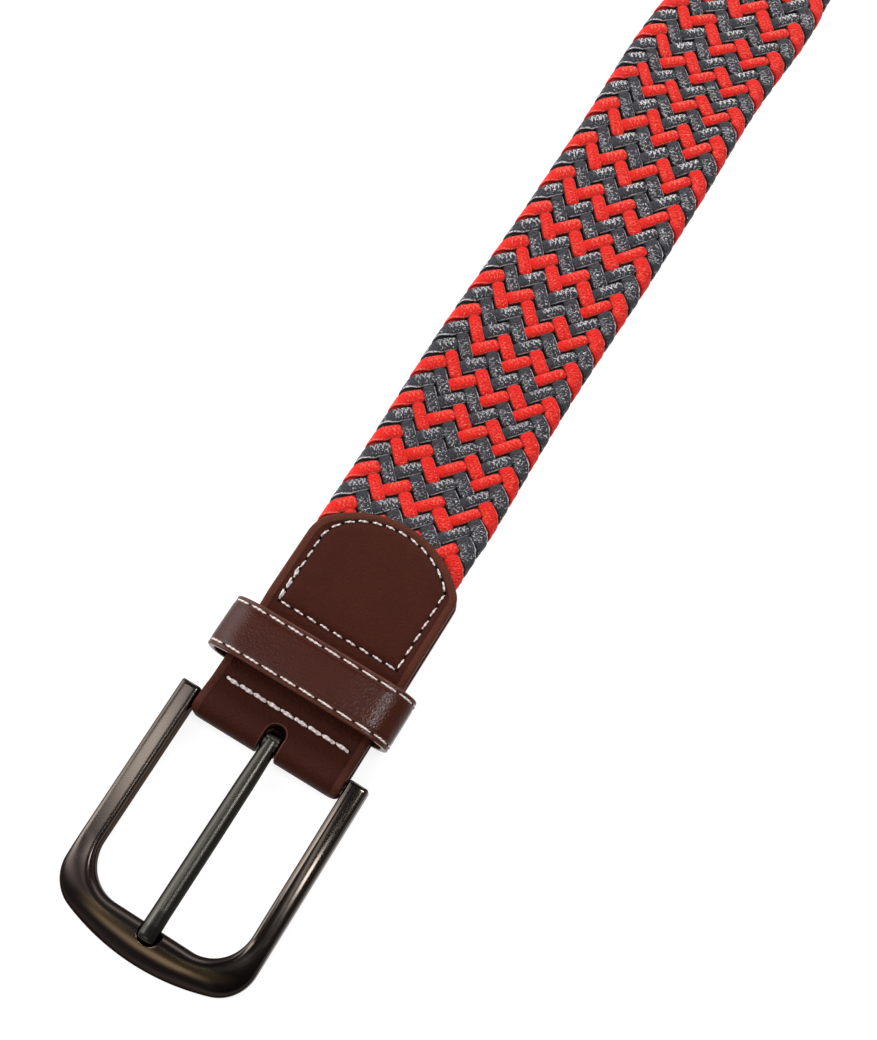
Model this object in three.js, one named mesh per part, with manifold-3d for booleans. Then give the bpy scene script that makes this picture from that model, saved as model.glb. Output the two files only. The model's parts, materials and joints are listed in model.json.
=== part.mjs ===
// A braided belt's buckle end, lying on its back on a flat surface: millimetres, +Z up.
// X runs along the strap from the buckle to the tip, Y across it, and Z = 0 is the surface.
// Each x below is measured from the buckle's pivot bar. The last lines shift the whole belt,
// so that the middle of its length is at X = 0.

import * as THREE from 'three';
import { mergeVertices } from 'three/addons/utils/BufferGeometryUtils.js';
import Module from 'manifold-3d';

const wasm = await Module();
wasm.setup();

// Driving dimensions

const gap = 0.3;                        // clearance between neighbouring pieces

const bar = { radius: 1.3, eye: 1.5 };  // the pivot bar, and the bore of the prong's eye

const leather = {
  width: 35,
  wall: 1.4,
  endRadius: 22,                        // the flap's broad round end
  cornerRadius: 4,                      // where that end meets the straight sides
};

const tab = {
  apex: 53.4,                           // furthest point of the flap
  foldCorner: 1.2,                      // rounding of the fold's two ends, seen from above
  dip: 1.0,                             // how far the upper layer sinks between fold and flap
  dipStart: [0.5, 6.5],
  dipEnd: [21.5, 27.5],
  slotWidth: 4.2,
  slotEnd: 3.9,
};

const keeper = {
  start: 10.2,
  length: 11.7,
  width: 43,
  top: 11.7,
  wall: 1.6,
  bend: 4.4,                            // outer radius of its four bends
  crown: 0.35,                          // how far the upper run bows upwards
};

const frame = {
  innerHalf: 17.8,
  outerHalf: 22.3,
  armEnd: 2.1,
  armEndChamfer: 0.35,
  armEndShrink: 0.12,                   // how much the section shrinks over that chamfer
  middleHeight: 2,                      // towards which it shrinks
  innerEnd: -41.85,
  outerEnd: -49.8,
  innerCorner: 8.7,
  outerCorner: 8.3,
  bowRadius: 52.5,                      // the end bar's outer edge is a gentle arc
  armLift: 0.7,                         // underside of the arms above the surface at the bar
  armRise: 0.15,                        // extra height of the arms at the bar, as a share
  liftLength: 32,                       // over which both fade out towards the end bar
};

// Section of the frame, counter-clockwise from its inner foot. "across" is the share of the width
// from the inner edge, "up" the height above the underside, for the arms and for the end bar.
const frameSection = [
  { armAcross: 0.07, armUp: 0.0, barAcross: 0.05, barUp: 0.0 },
  { armAcross: 0.93, armUp: 0.0, barAcross: 0.95, barUp: 0.0 },
  { armAcross: 1.00, armUp: 0.5, barAcross: 1.00, barUp: 0.5 },
  { armAcross: 0.86, armUp: 3.5, barAcross: 0.97, barUp: 1.4 },
  { armAcross: 0.72, armUp: 3.85, barAcross: 0.83, barUp: 2.75 },
  { armAcross: 0.55, armUp: 4.0, barAcross: 0.67, barUp: 3.8 },
  { armAcross: 0.36, armUp: 4.0, barAcross: 0.50, barUp: 4.45 },
  { armAcross: 0.20, armUp: 3.85, barAcross: 0.34, barUp: 4.7 },
  { armAcross: 0.08, armUp: 3.5, barAcross: 0.13, barUp: 4.35 },
  { armAcross: 0.00, armUp: 0.5, barAcross: 0.00, barUp: 0.5 },
];

const notch = { radius: 2.5, height: 4.95, start: -38.85, end: -46.4 };

const prongAside = -0.4;                // the prong, its slot and its notch lie a little off centre

// The prong's round rod from its root to its bent tip.
const prongRod = [
  { x: 1.3, z: 4.0, halfWidth: 1.55, halfHeight: 1.2 },
  { x: 0.8, z: 4.05, halfWidth: 1.75, halfHeight: 1.5 },
  { x: -3.6, z: 4.1, halfWidth: 1.78, halfHeight: 1.53 },
  { x: -9.0, z: 4.15, halfWidth: 1.92, halfHeight: 1.55 },
  { x: -22.0, z: 4.3, halfWidth: 2.0, halfHeight: 1.55 },
  { x: -38.6, z: 4.5, halfWidth: 2.0, halfHeight: 1.5 },
  { x: -41.6, z: 4.4, halfWidth: 2.0, halfHeight: 1.4 },
  { x: -43.8, z: 4.1, halfWidth: 1.85, halfHeight: 1.2 },
  { x: -44.6, z: 3.9, halfWidth: 1.45, halfHeight: 0.9 },
  { x: -44.9, z: 3.8, halfWidth: 0.9, halfHeight: 0.5 },
];
const prongEye = { outer: 2.65, halfWidth: 1.75 };

const tip = {
  start: 222.5,                         // furthest point of its rounded edge over the braid
  end: 272.2,
  wall: 1.2,
  pocket: 2.4,                          // height of the space that holds the braid
  pocketEnd: 262,
  seam: 2.2,                            // width of the closed edge round the pocket
  noseRadius: 20,
  noseCorner: 9,
};

const braid = { scallop: 0.35, rowPitch: 5.1, edgeSides: 4 };

// Underside, top and half-width of the braid along the strap: between the tab's layers, on the
// surface, then inside the tip.
const braidLevels = [
  { x: 24.5, under: leather.wall + gap, top: 3.5, half: 16.4 },
  { x: 28.5, under: leather.wall + gap, top: 4.3, half: 16.4 },
  { x: tab.apex + 0.2, under: leather.wall + gap, top: 4.3, half: 16.7 },
  { x: 61.5, under: 0, top: 3.7, half: 16.9 },
  { x: 166, under: 0, top: 3.7, half: 17.0 },
  { x: 206, under: 0, top: 3.7, half: 17.4 },
  { x: 214, under: 0, top: 3.7, half: 17.1 },
  { x: tip.start - 0.2, under: tip.wall + gap, top: tip.wall + tip.pocket - gap, half: 16.4 },
  { x: tip.pocketEnd - 1, under: tip.wall + gap, top: tip.wall + tip.pocket - gap, half: 16.4 },
];

// The strap doesn't lie quite straight: how far its middle wanders towards +Y.
const braidBends = [
  { x: 54, aside: 1.05 },
  { x: 97, aside: 1.85 },
  { x: 136, aside: 1.2 },
  { x: 158, aside: 1.2 },
  { x: 184, aside: 1.75 },
  { x: 222, aside: 0 },
];

// Sizes that follow from these

const eyeRadius = bar.radius + gap;
const foldRadius = eyeRadius + leather.wall;
const pivotHeight = foldRadius;
const tabHeight = 2 * foldRadius;
const leatherHalf = leather.width / 2;
const middle = (frame.outerEnd + tip.end) / 2;

const colours = {
  leather: 0x4b241c,
  keeper: 0x482019,
  gunmetal: 0x3c3430,
  prong: 0x3a3633,
  braid: 0xb83a30,
};

// Small helpers

function smoothStep(from, to, value) {
  const share = Math.min(1, Math.max(0, (value - from) / (to - from)));
  return share * share * (3 - 2 * share);
}

function mix(from, to, share) {
  return from + (to - from) * share;
}

function spread(from, to, steps) {
  return Array.from({ length: steps + 1 }, (_, index) => mix(from, to, index / steps));
}

// Value of one column of a table at x, eased from row to row and held before the first row and
// after the last.
function rowValue(rows, x, column) {
  const next = rows.findIndex((row) => row.x >= x);
  if (next === 0) {
    return rows[0][column];
  }
  if (next < 0) {
    return rows.at(-1)[column];
  }
  const [from, to] = [rows[next - 1], rows[next]];
  return mix(from[column], to[column], smoothStep(from.x, to.x, x));
}

function arcPoints(centreX, centreY, radius, fromAngle, toAngle, steps) {
  return spread(fromAngle, toAngle, steps).map(
    (angle) => new THREE.Vector2(centreX + radius * Math.cos(angle), centreY + radius * Math.sin(angle)),
  );
}

function toSolid(geometry) {
  const bare = geometry.clone();
  bare.deleteAttribute('normal');
  bare.deleteAttribute('uv');
  const merged = mergeVertices(bare, 1e-4);
  return new wasm.Manifold(new wasm.Mesh({
    numProp: 3,
    vertProperties: new Float32Array(merged.attributes.position.array),
    triVerts: new Uint32Array(merged.index.array),
  }));
}

function toGeometry(manifold) {
  const mesh = manifold.getMesh();
  const geometry = new THREE.BufferGeometry();
  geometry.setAttribute('position', new THREE.BufferAttribute(mesh.vertProperties, 3));
  geometry.setIndex(new THREE.BufferAttribute(mesh.triVerts, 1));
  geometry.computeVertexNormals();
  return geometry;
}

function meshOf(name, geometry, color, roughness, metalness) {
  const mesh = new THREE.Mesh(geometry, new THREE.MeshStandardMaterial({ color, roughness, metalness }));
  mesh.name = name;
  return mesh;
}

// A closed skin over rings of equally many points, each ring convex and capped at both ends.
// The rings run so that the points turn counter-clockwise seen against the direction of travel.
function skin(rings) {
  const sides = rings[0].length;
  const positions = rings.flat().flatMap((point) => [point.x, point.y, point.z]);
  const indices = [];
  for (let ring = 0; ring + 1 < rings.length; ring += 1) {
    for (let side = 0; side < sides; side += 1) {
      const here = ring * sides + side;
      const next = ring * sides + (side + 1) % sides;
      indices.push(here, next, next + sides);
      indices.push(here, next + sides, here + sides);
    }
  }
  const lastRing = (rings.length - 1) * sides;
  for (let side = 1; side + 1 < sides; side += 1) {
    indices.push(0, side + 1, side);
    indices.push(lastRing, lastRing + side, lastRing + side + 1);
  }
  const geometry = new THREE.BufferGeometry();
  geometry.setAttribute('position', new THREE.Float32BufferAttribute(positions, 3));
  geometry.setIndex(indices);
  geometry.computeVertexNormals();
  return geometry;
}

// Extrusions of an outline: along Z for one seen from above, along Y for one seen from the side,
// along X for one seen from the end.
function extrudeUp(points, low, high) {
  const options = { depth: high - low, bevelEnabled: false };
  return new THREE.ExtrudeGeometry(new THREE.Shape(points), options).translate(0, 0, low);
}

function extrudeAcross(points, halfWidth) {
  const options = { depth: 2 * halfWidth, bevelEnabled: false };
  const geometry = new THREE.ExtrudeGeometry(new THREE.Shape(points), options);
  return geometry.rotateX(Math.PI / 2).translate(0, halfWidth, 0);
}

function cylinderAcross(radius, halfWidth, height, sides) {
  return new THREE.CylinderGeometry(radius, radius, 2 * halfWidth, sides).translate(0, 0, height);
}

// One rounded end of a strap piece, seen from above, from its +Y side round to its -Y side:
// a corner arc, the broad arc through the apex, and the other corner. Facing is +1 towards the
// strap's tip and -1 towards the buckle.
function roundedEnd(apex, facing, endRadius, cornerRadius) {
  const cornerY = leatherHalf - cornerRadius;
  const reach = Math.sqrt((endRadius - cornerRadius) ** 2 - cornerY ** 2);
  const cornerX = endRadius - reach;
  const meet = Math.atan2(cornerY, reach);
  const half = [
    ...arcPoints(-cornerX, cornerY, cornerRadius, Math.PI / 2, meet, 4),
    ...arcPoints(-endRadius, 0, endRadius, meet, 0, 10).slice(1),
  ];
  const other = half.slice(0, -1).reverse().map((point) => new THREE.Vector2(point.x, -point.y));
  return [...half, ...other].map((point) => new THREE.Vector2(apex + facing * point.x, point.y));
}

// Leather tab: a strip folded round the pivot bar, with a slot for the prong

function tabTop(x) {
  const sunk = smoothStep(...tab.dipStart, x) - smoothStep(...tab.dipEnd, x);
  return tabHeight - tab.dip * sunk;
}

function makeTab() {
  const far = tab.apex + 1;
  const topLine = spread(0, far, 40).map((x) => new THREE.Vector2(x, tabTop(x)));
  const underLine = topLine.map((point) => new THREE.Vector2(point.x, point.y - leather.wall));
  const side = [
    new THREE.Vector2(far, 0),
    new THREE.Vector2(far, leather.wall),
    ...arcPoints(0, pivotHeight, eyeRadius, -Math.PI / 2, -3 * Math.PI / 2, 12),
    ...underLine.slice(1),
    ...topLine.slice(1).reverse(),
    ...arcPoints(0, pivotHeight, foldRadius, Math.PI / 2, 3 * Math.PI / 2, 16),
  ];
  const fold = tab.foldCorner;
  const seenFromAbove = [
    ...roundedEnd(tab.apex, 1, leather.endRadius, leather.cornerRadius),
    ...arcPoints(fold - foldRadius, fold - leatherHalf, fold, -Math.PI / 2, -Math.PI, 4),
    ...arcPoints(fold - foldRadius, leatherHalf - fold, fold, Math.PI, Math.PI / 2, 4),
  ];
  const slotHalf = tab.slotWidth / 2;
  const slot = [
    new THREE.Vector2(-foldRadius - 1, prongAside + slotHalf),
    new THREE.Vector2(-foldRadius - 1, prongAside - slotHalf),
    ...arcPoints(tab.slotEnd - slotHalf, prongAside, slotHalf, -Math.PI / 2, Math.PI / 2, 10),
  ];
  const strip = toSolid(extrudeAcross(side, leatherHalf + 1));
  const plan = toSolid(extrudeUp(seenFromAbove, -1, tabHeight + 1));
  const cut = toSolid(extrudeUp(slot, -1, tabHeight + 1));
  return toGeometry(strip.intersect(plan).subtract(cut));
}

// Keeper: a flat leather loop, its lower run between the tab's two layers

function keeperLoop(inset) {
  const half = keeper.width / 2 - inset;
  const low = leather.wall + gap + inset;
  const high = keeper.top - inset;
  const bend = keeper.bend - inset;
  const crownLine = spread(half - bend, bend - half, 8).slice(1, -1).map((y) => {
    const share = y / (half - bend);
    return new THREE.Vector2(y, high + keeper.crown * (1 - share * share));
  });
  return [
    ...arcPoints(half - bend, low + bend, bend, -Math.PI / 2, 0, 7),
    ...arcPoints(half - bend, high - bend, bend, 0, Math.PI / 2, 7),
    ...crownLine,
    ...arcPoints(bend - half, high - bend, bend, Math.PI / 2, Math.PI, 7),
    ...arcPoints(bend - half, low + bend, bend, Math.PI, 3 * Math.PI / 2, 7),
  ];
}

function makeKeeper() {
  const shape = new THREE.Shape(keeperLoop(0));
  shape.holes.push(new THREE.Path(keeperLoop(keeper.wall)));
  const geometry = new THREE.ExtrudeGeometry(shape, { depth: keeper.length, bevelEnabled: false });
  const turn = new THREE.Matrix4().makeBasis(
    new THREE.Vector3(0, 1, 0),
    new THREE.Vector3(0, 0, 1),
    new THREE.Vector3(1, 0, 0),
  );
  return geometry.applyMatrix4(turn).translate(keeper.start, 0, 0);
}

// Braid: one flat woven band whose edges are scalloped by its rows of cords

function braidRing(x) {
  const under = rowValue(braidLevels, x, 'under');
  const top = rowValue(braidLevels, x, 'top');
  const edge = (top - under) / 2;
  const aside = rowValue(braidBends, x, 'aside');
  const phase = (2 * Math.PI * x) / braid.rowPitch;
  return [1, -1].flatMap((side) => {
    const half = rowValue(braidLevels, x, 'half') - braid.scallop * (1 + side * Math.cos(phase)) / 2;
    const start = side > 0 ? -Math.PI / 2 : Math.PI / 2;
    return spread(start, start + Math.PI, braid.edgeSides).map((angle) => new THREE.Vector3(
      x,
      aside + side * (half - edge) + edge * Math.cos(angle),
      under + edge + edge * Math.sin(angle),
    ));
  });
}

function makeBraid() {
  const first = braidLevels[0].x;
  const last = braidLevels.at(-1).x;
  const steps = Math.round((3 * (last - first)) / braid.rowPitch);
  return skin(spread(first, last, steps).map(braidRing));
}

// Buckle frame: a cast loop whose section grows from the arms to the broad end bar

const innerCorner = new THREE.Vector2(frame.innerEnd + frame.innerCorner, frame.innerHalf - frame.innerCorner);
const bowCentre = frame.outerEnd + frame.bowRadius;
const outerCornerY = frame.outerHalf - frame.outerCorner;
const outerCorner = new THREE.Vector2(
  bowCentre - Math.sqrt((frame.bowRadius - frame.outerCorner) ** 2 - outerCornerY ** 2),
  outerCornerY,
);

// Distance along a ray from a point inside a circle to that circle.
function reachCircle(origin, ray, centre, radius) {
  const offset = origin.clone().sub(centre);
  const along = offset.dot(ray);
  return -along + Math.sqrt(along * along - offset.lengthSq() + radius * radius);
}

// Distance from the inner corner's centre to the frame's outer edge: the arm's straight side,
// the bowed end, and the corner arc between them.
function reachOuterEdge(ray) {
  const toSide = ray.y > 0 ? (frame.outerHalf - innerCorner.y) / ray.y : Infinity;
  if (innerCorner.x + toSide * ray.x >= outerCorner.x) {
    return toSide;
  }
  const toBow = reachCircle(innerCorner, ray, new THREE.Vector2(bowCentre, 0), frame.bowRadius);
  const onBow = innerCorner.clone().addScaledVector(ray, toBow);
  const bowEnds = outerCorner.y * frame.bowRadius / (frame.bowRadius - frame.outerCorner);
  if (onBow.y <= bowEnds) {
    return toBow;
  }
  return reachCircle(innerCorner, ray, outerCorner, frame.outerCorner);
}

// Stations along half the frame, from the end of the +Y arm to the middle of the end bar. Each has
// its inner and outer edge points, and "bar", which grows from 0 on the arm to 1 on the end bar.
function frameStations() {
  const arm = spread(frame.armEnd - frame.armEndChamfer, innerCorner.x, 8).map((x) => ({
    inner: new THREE.Vector2(x, frame.innerHalf),
    outer: new THREE.Vector2(x, frame.outerHalf),
    bar: 0,
  }));
  const corner = spread(Math.PI / 2, Math.PI, 12).slice(1).map((angle) => {
    const ray = new THREE.Vector2(Math.cos(angle), Math.sin(angle));
    return {
      inner: innerCorner.clone().addScaledVector(ray, frame.innerCorner),
      outer: innerCorner.clone().addScaledVector(ray, reachOuterEdge(ray)),
      bar: smoothStep(Math.PI / 2, Math.PI, angle),
    };
  });
  const end = spread(innerCorner.y, 0, 5).slice(1).map((y) => ({
    inner: new THREE.Vector2(frame.innerEnd, y),
    outer: new THREE.Vector2(bowCentre - Math.sqrt(frame.bowRadius ** 2 - y * y), y),
    bar: 1,
  }));
  return [...arm, ...corner, ...end];
}

function frameRing(station, shrink) {
  const nearBar = smoothStep(-frame.liftLength, 0, station.inner.x);
  const under = frame.armLift * nearBar;
  const tall = 1 + nearBar * frame.armRise;
  return frameSection.map((row) => {
    const across = mix(row.armAcross, row.barAcross, station.bar);
    const up = mix(row.armUp * tall, row.barUp, station.bar);
    const share = mix(across, 0.5, shrink);
    const plan = station.inner.clone().lerp(station.outer, share);
    return new THREE.Vector3(plan.x, plan.y, under + mix(up, frame.middleHeight, shrink));
  });
}

function makeFrame() {
  const half = frameStations();
  const rings = half.map((station) => frameRing(station, 0));
  const endStation = {
    inner: new THREE.Vector2(frame.armEnd, frame.innerHalf),
    outer: new THREE.Vector2(frame.armEnd, frame.outerHalf),
    bar: 0,
  };
  rings.unshift(frameRing(endStation, frame.armEndShrink));
  const otherHalf = rings.slice(0, -1).reverse().map((ring) => ring.map(
    (point) => new THREE.Vector3(point.x, -point.y, point.z),
  ));
  const loop = toSolid(skin([...rings, ...otherHalf].reverse()));
  const pivot = toSolid(cylinderAcross(bar.radius, frame.innerHalf + 1, pivotHeight, 20));
  const grooveEnd = notch.end + notch.radius;
  const groove = new THREE.CapsuleGeometry(notch.radius, notch.start - grooveEnd, 6, 20);
  groove.rotateZ(Math.PI / 2).translate((notch.start + grooveEnd) / 2, prongAside, notch.height);
  return toGeometry(loop.add(pivot).subtract(toSolid(groove)));
}

// Prong: a round rod on an eye that turns on the pivot bar

function prongRing(row) {
  const sides = 14;
  return spread(0, 2 * Math.PI, sides).slice(0, sides).map((angle) => new THREE.Vector3(
    row.x,
    -row.halfWidth * Math.cos(angle),
    row.z + row.halfHeight * Math.sin(angle),
  ));
}

function makeProng() {
  const rod = toSolid(skin(prongRod.map(prongRing)));
  const eye = toSolid(cylinderAcross(prongEye.outer, prongEye.halfWidth, pivotHeight, 24));
  const bore = toSolid(cylinderAcross(bar.eye, prongEye.halfWidth + 1, pivotHeight, 24));
  return toGeometry(rod.add(eye).subtract(bore)).translate(0, prongAside, 0);
}

// Leather tip: a flat sleeve closed on three sides, with the braid's end in its pocket

function makeTip() {
  const outline = [
    ...roundedEnd(tip.start, -1, leather.endRadius, leather.cornerRadius).reverse(),
    ...roundedEnd(tip.end, 1, tip.noseRadius, tip.noseCorner),
  ];
  const pocketHalf = leatherHalf - tip.seam / 2 + gap;
  const pocket = [
    new THREE.Vector2(tip.start - 1, -pocketHalf),
    new THREE.Vector2(tip.pocketEnd, -pocketHalf),
    new THREE.Vector2(tip.pocketEnd, pocketHalf),
    new THREE.Vector2(tip.start - 1, pocketHalf),
  ];
  const body = toSolid(extrudeUp(outline, 0, 2 * tip.wall + tip.pocket));
  const space = toSolid(extrudeUp(pocket, tip.wall, tip.wall + tip.pocket));
  return toGeometry(body.subtract(space));
}

const belt = new THREE.Group();
belt.add(
  meshOf('leather_tab', makeTab(), colours.leather, 0.5, 0),
  meshOf('keeper', makeKeeper(), colours.keeper, 0.45, 0),
  meshOf('braid', makeBraid(), colours.braid, 0.85, 0),
  meshOf('buckle_frame', makeFrame(), colours.gunmetal, 0.3, 1),
  meshOf('prong', makeProng(), colours.prong, 0.3, 1),
  meshOf('leather_tip', makeTip(), colours.leather, 0.5, 0),
);
belt.position.x = -middle;

export default belt;
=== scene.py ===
import json

import bmesh
import bpy
import numpy as np
from mathutils import Matrix, Vector


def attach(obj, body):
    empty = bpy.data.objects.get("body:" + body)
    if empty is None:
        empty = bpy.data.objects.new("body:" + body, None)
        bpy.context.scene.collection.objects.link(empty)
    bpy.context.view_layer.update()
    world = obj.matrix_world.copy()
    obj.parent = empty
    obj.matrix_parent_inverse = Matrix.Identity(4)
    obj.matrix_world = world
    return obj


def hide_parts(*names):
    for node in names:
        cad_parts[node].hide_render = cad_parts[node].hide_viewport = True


# The buckle end of a braided belt, lying on its back: seventeen cords, a stitched leather tab,
# a keeper, a gunmetal buckle and a plain leather tip. Settings are in millimetres, with x
# measured from the buckle's pivot bar, y across the strap and z up from the surface.

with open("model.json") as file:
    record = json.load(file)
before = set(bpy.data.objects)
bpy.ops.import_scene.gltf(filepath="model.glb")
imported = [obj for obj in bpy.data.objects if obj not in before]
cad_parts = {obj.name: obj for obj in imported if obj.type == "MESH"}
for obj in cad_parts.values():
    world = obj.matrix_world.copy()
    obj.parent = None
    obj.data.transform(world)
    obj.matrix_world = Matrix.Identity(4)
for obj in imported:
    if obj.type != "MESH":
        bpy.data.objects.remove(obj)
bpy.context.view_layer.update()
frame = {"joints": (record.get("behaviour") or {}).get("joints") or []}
mm = 0.001
pivotX = frame["joints"][0]["pos_m"][0] / mm
print("frame loaded")


# Numbers and meshes

def ease(low, high, value):
    # 0 below low, 1 above high, and 3 t^2 - 2 t^3 of the share t between them
    share = np.clip((value - low) / (high - low), 0, 1)
    return share * share * (3 - 2 * share)


def easedColumn(table, column, value):
    # the first number, plus an eased step to each next number between their two x
    total = table[column][0] + np.zeros_like(value)
    for k in range(len(table["x"]) - 1):
        step = table[column][k + 1] - table[column][k]
        total = total + step * ease(table["x"][k], table["x"][k + 1], value)
    return total


def spacing(low, high, step):
    # even values from low to high, about a step apart
    return np.linspace(low, high, max(2, int(round(abs(high - low) / step)) + 1))


def unit(vectors):
    # each vector divided by its length
    return vectors / np.linalg.norm(vectors, axis=-1, keepdims=True)


def gridQuads(rows, columns, loopRows=False, loopColumns=False, first=0):
    # corners of every cell of a grid, so that a face looks along row direction x column direction
    r, c = np.meshgrid(np.arange(rows - (not loopRows)), np.arange(columns - (not loopColumns)),
                       indexing="ij")
    nextR, nextC = (r + 1) % rows, (c + 1) % columns
    quads = np.stack([r * columns + c, nextR * columns + c, nextR * columns + nextC,
                      r * columns + nextC], axis=-1)
    return first + quads.reshape(-1, 4)


def sweptFaces(bodies, rings, sides, flip=False):
    # walls and end caps of several sweeps of closed rings; flip turns the caps over
    walls = [gridQuads(rings, sides, loopColumns=True, first=k * rings * sides) for k in range(bodies)]
    ring = np.arange(sides)
    ends = [ring, (rings - 1) * sides + ring[::-1]]
    if flip:
        ends = [ring[::-1], (rings - 1) * sides + ring]
    caps = [k * rings * sides + end for k in range(bodies) for end in ends]
    return np.concatenate(walls), caps


def sweptCorners(along, sides):
    # at each corner of each wall face: the distance along its sweep and the share round it,
    # with the last column's share at 1
    r, c = np.meshgrid(np.arange(along.shape[1] - 1), np.arange(sides), indexing="ij")
    u = np.stack([along[:, r], along[:, r + 1], along[:, r + 1], along[:, r]], axis=-1)
    v = np.stack([c, c, c + 1, c + 1], axis=-1) / sides
    return np.stack([u, np.broadcast_to(v, u.shape)], axis=-1)


def meshFrom(name, points, quads, caps=(), values=None, corners=None, weld=0.0, sharp=None):
    # points (n x 3, millimetres) and faces into one mesh object in metres; quads come first, and
    # corners holds their texture places
    mesh = bpy.data.meshes.new(name)
    sizes = np.concatenate([np.full(len(quads), 4), [len(c) for c in caps]]).astype(np.int32)
    loops = np.concatenate([np.ravel(quads), *[np.ravel(c) for c in caps]]).astype(np.int32)
    metres = (np.asarray(points) + [pivotX, 0, 0]) * mm
    mesh.vertices.add(len(metres))
    mesh.vertices.foreach_set("co", metres.astype(np.float32).ravel())
    mesh.loops.add(len(loops))
    mesh.loops.foreach_set("vertex_index", loops)
    mesh.polygons.add(len(sizes))
    mesh.polygons.foreach_set("loop_start", np.cumsum(sizes) - sizes)
    for key, value in (values or {}).items():
        layer = mesh.attributes.new(key, "FLOAT", "POINT")
        layer.data.foreach_set("value", np.ravel(value).astype(np.float32))
    if corners is not None:
        spare = np.zeros((len(loops) - corners.size // 2, 2))
        flat = np.concatenate([corners.reshape(-1, 2), spare])
        mesh.uv_layers.new(name="surface").data.foreach_set("uv", flat.astype(np.float32).ravel())
    mesh.update(calc_edges=True)
    if weld:
        work = bmesh.new()
        work.from_mesh(mesh)
        bmesh.ops.remove_doubles(work, verts=work.verts, dist=weld * mm)
        bmesh.ops.dissolve_degenerate(work, edges=work.edges, dist=weld * mm)
        bmesh.ops.recalc_face_normals(work, faces=work.faces)
        work.to_mesh(mesh)
        work.free()
    mesh.validate()
    mesh.shade_smooth()
    if sharp:
        mesh.set_sharp_from_angle(angle=np.radians(sharp))
    piece = bpy.data.objects.new(name, mesh)
    bpy.context.scene.collection.objects.link(piece)
    return piece


def dress(piece, body, slot, material, *nodes):
    # material and body of a finished piece, and the plain nodes that it stands for; slot is not used
    piece.data.materials.append(material)
    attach(piece, body)
    if nodes:
        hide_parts(*nodes)
    print("made", piece.name, len(piece.data.polygons), "faces")


# Shader writing

class Wire:
    # an output socket; + - * / on it add Math nodes
    def __init__(self, paint, socket):
        self.paint = paint
        self.socket = socket

    def __add__(self, other):
        return self.paint.math("ADD", self, other)

    def __sub__(self, other):
        return self.paint.math("SUBTRACT", self, other)

    def __rsub__(self, other):
        return self.paint.math("SUBTRACT", other, self)

    def __mul__(self, other):
        return self.paint.math("MULTIPLY", self, other)

    def __truediv__(self, other):
        return self.paint.math("DIVIDE", self, other)

    __radd__ = __add__
    __rmul__ = __mul__


class Paint:
    # the nodes of a material, or of the world: node() adds a node and gives its output, and
    # the rest are short ways to use it
    def __init__(self, holder, shader="Principled BSDF", **sockets):
        holder.use_nodes = True
        self.holder = holder
        self.tree = holder.node_tree
        self.shader = self.tree.nodes[shader]
        self.into(self.shader, sockets)

    def into(self, node, values):
        # constants and links into sockets, named with _ for a space or numbered
        for key, value in values.items():
            socket = node.inputs[key if isinstance(key, int) else key.replace("_", " ")]
            if isinstance(value, Wire):
                self.tree.links.new(value.socket, socket)
            else:
                socket.default_value = value

    def node(self, kind, settings=None, values=None, out=0):
        # a new node with its settings and its sockets' values, which gives one of its outputs
        made = self.tree.nodes.new("ShaderNode" + kind)
        for key, value in (settings or {}).items():
            setattr(made, key, value)
        self.into(made, values or {})
        return Wire(self, made.outputs[out])

    def math(self, operation, *values):
        # one operation on one or two values
        return self.node("Math", {"operation": operation}, dict(enumerate(values)))

    def step(self, low, high, value):
        # 0 at low and 1 at high, eased between them
        return self.node("MapRange", {"interpolation_type": "SMOOTHSTEP"},
                         {"Value": value, "From_Min": low, "From_Max": high})

    def band(self, low, high, soft, value):
        # 1 between low and high, fading over soft on either side
        return self.step(low - soft, low, value) - self.step(high, high + soft, value)

    def mix(self, share, first, second):
        # first x (1 - share) + second x share, as colours
        return self.node("Mix", {"data_type": "RGBA"}, {0: share, 6: first, 7: second}, out=2)

    def attribute(self, name):
        # a number stored with the mesh's points
        return self.node("Attribute", {"attribute_name": name}, out=2)

    def inMillimetres(self):
        # Object coordinates, in millimetres
        return self.node("VectorMath", {"operation": "MULTIPLY"},
                         {0: self.node("TexCoord", out=3), 1: (1 / mm, 1 / mm, 1 / mm)})

    def split(self, vector):
        # its three numbers
        made = self.node("SeparateXYZ", values={0: vector})
        return [Wire(self, socket) for socket in made.socket.node.outputs]

    def noise(self, vector, scale, detail=2, rough=0.5):
        # soft clouds of 0 to 1, about as many in a unit as scale says
        return self.node("TexNoise", {}, {"Vector": vector, "Scale": scale, "Detail": detail,
                                          "Roughness": rough})

    def cells(self, vector, scale):
        # distance to the nearest of scattered places, as many in a unit as scale says
        return self.node("TexVoronoi", {}, {"Vector": vector, "Scale": scale})

    def bump(self, height, depth, under=None):
        # a height of 0 to 1 over a depth in millimetres, on top of another bump
        values = {"Height": height, "Distance": depth * mm, "Strength": 1.0}
        if under is not None:
            values["Normal"] = under
        return self.node("Bump", {}, values)

    def finish(self, **sockets):
        # the last values go into the shader, and the material comes back
        self.into(self.shader, sockets)
        return self.holder


def newPaint(name, **sockets):
    # a new material whose plain shader has these constants
    return Paint(bpy.data.materials.new(name), **sockets)


def rgb(red, green, blue):
    # screen colour, 0 to 255, to the linear colour that the shader takes: the share over 12.92
    # where it is dark, and else (share + 0.055) / 1.055 to the power of 2.4
    share = np.array([red, green, blue]) / 255
    linear = np.where(share <= 0.04045, share / 12.92, ((share + 0.055) / 1.055) ** 2.4)
    return (*linear.tolist(), 1.0)


# Camera, floor and light

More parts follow.
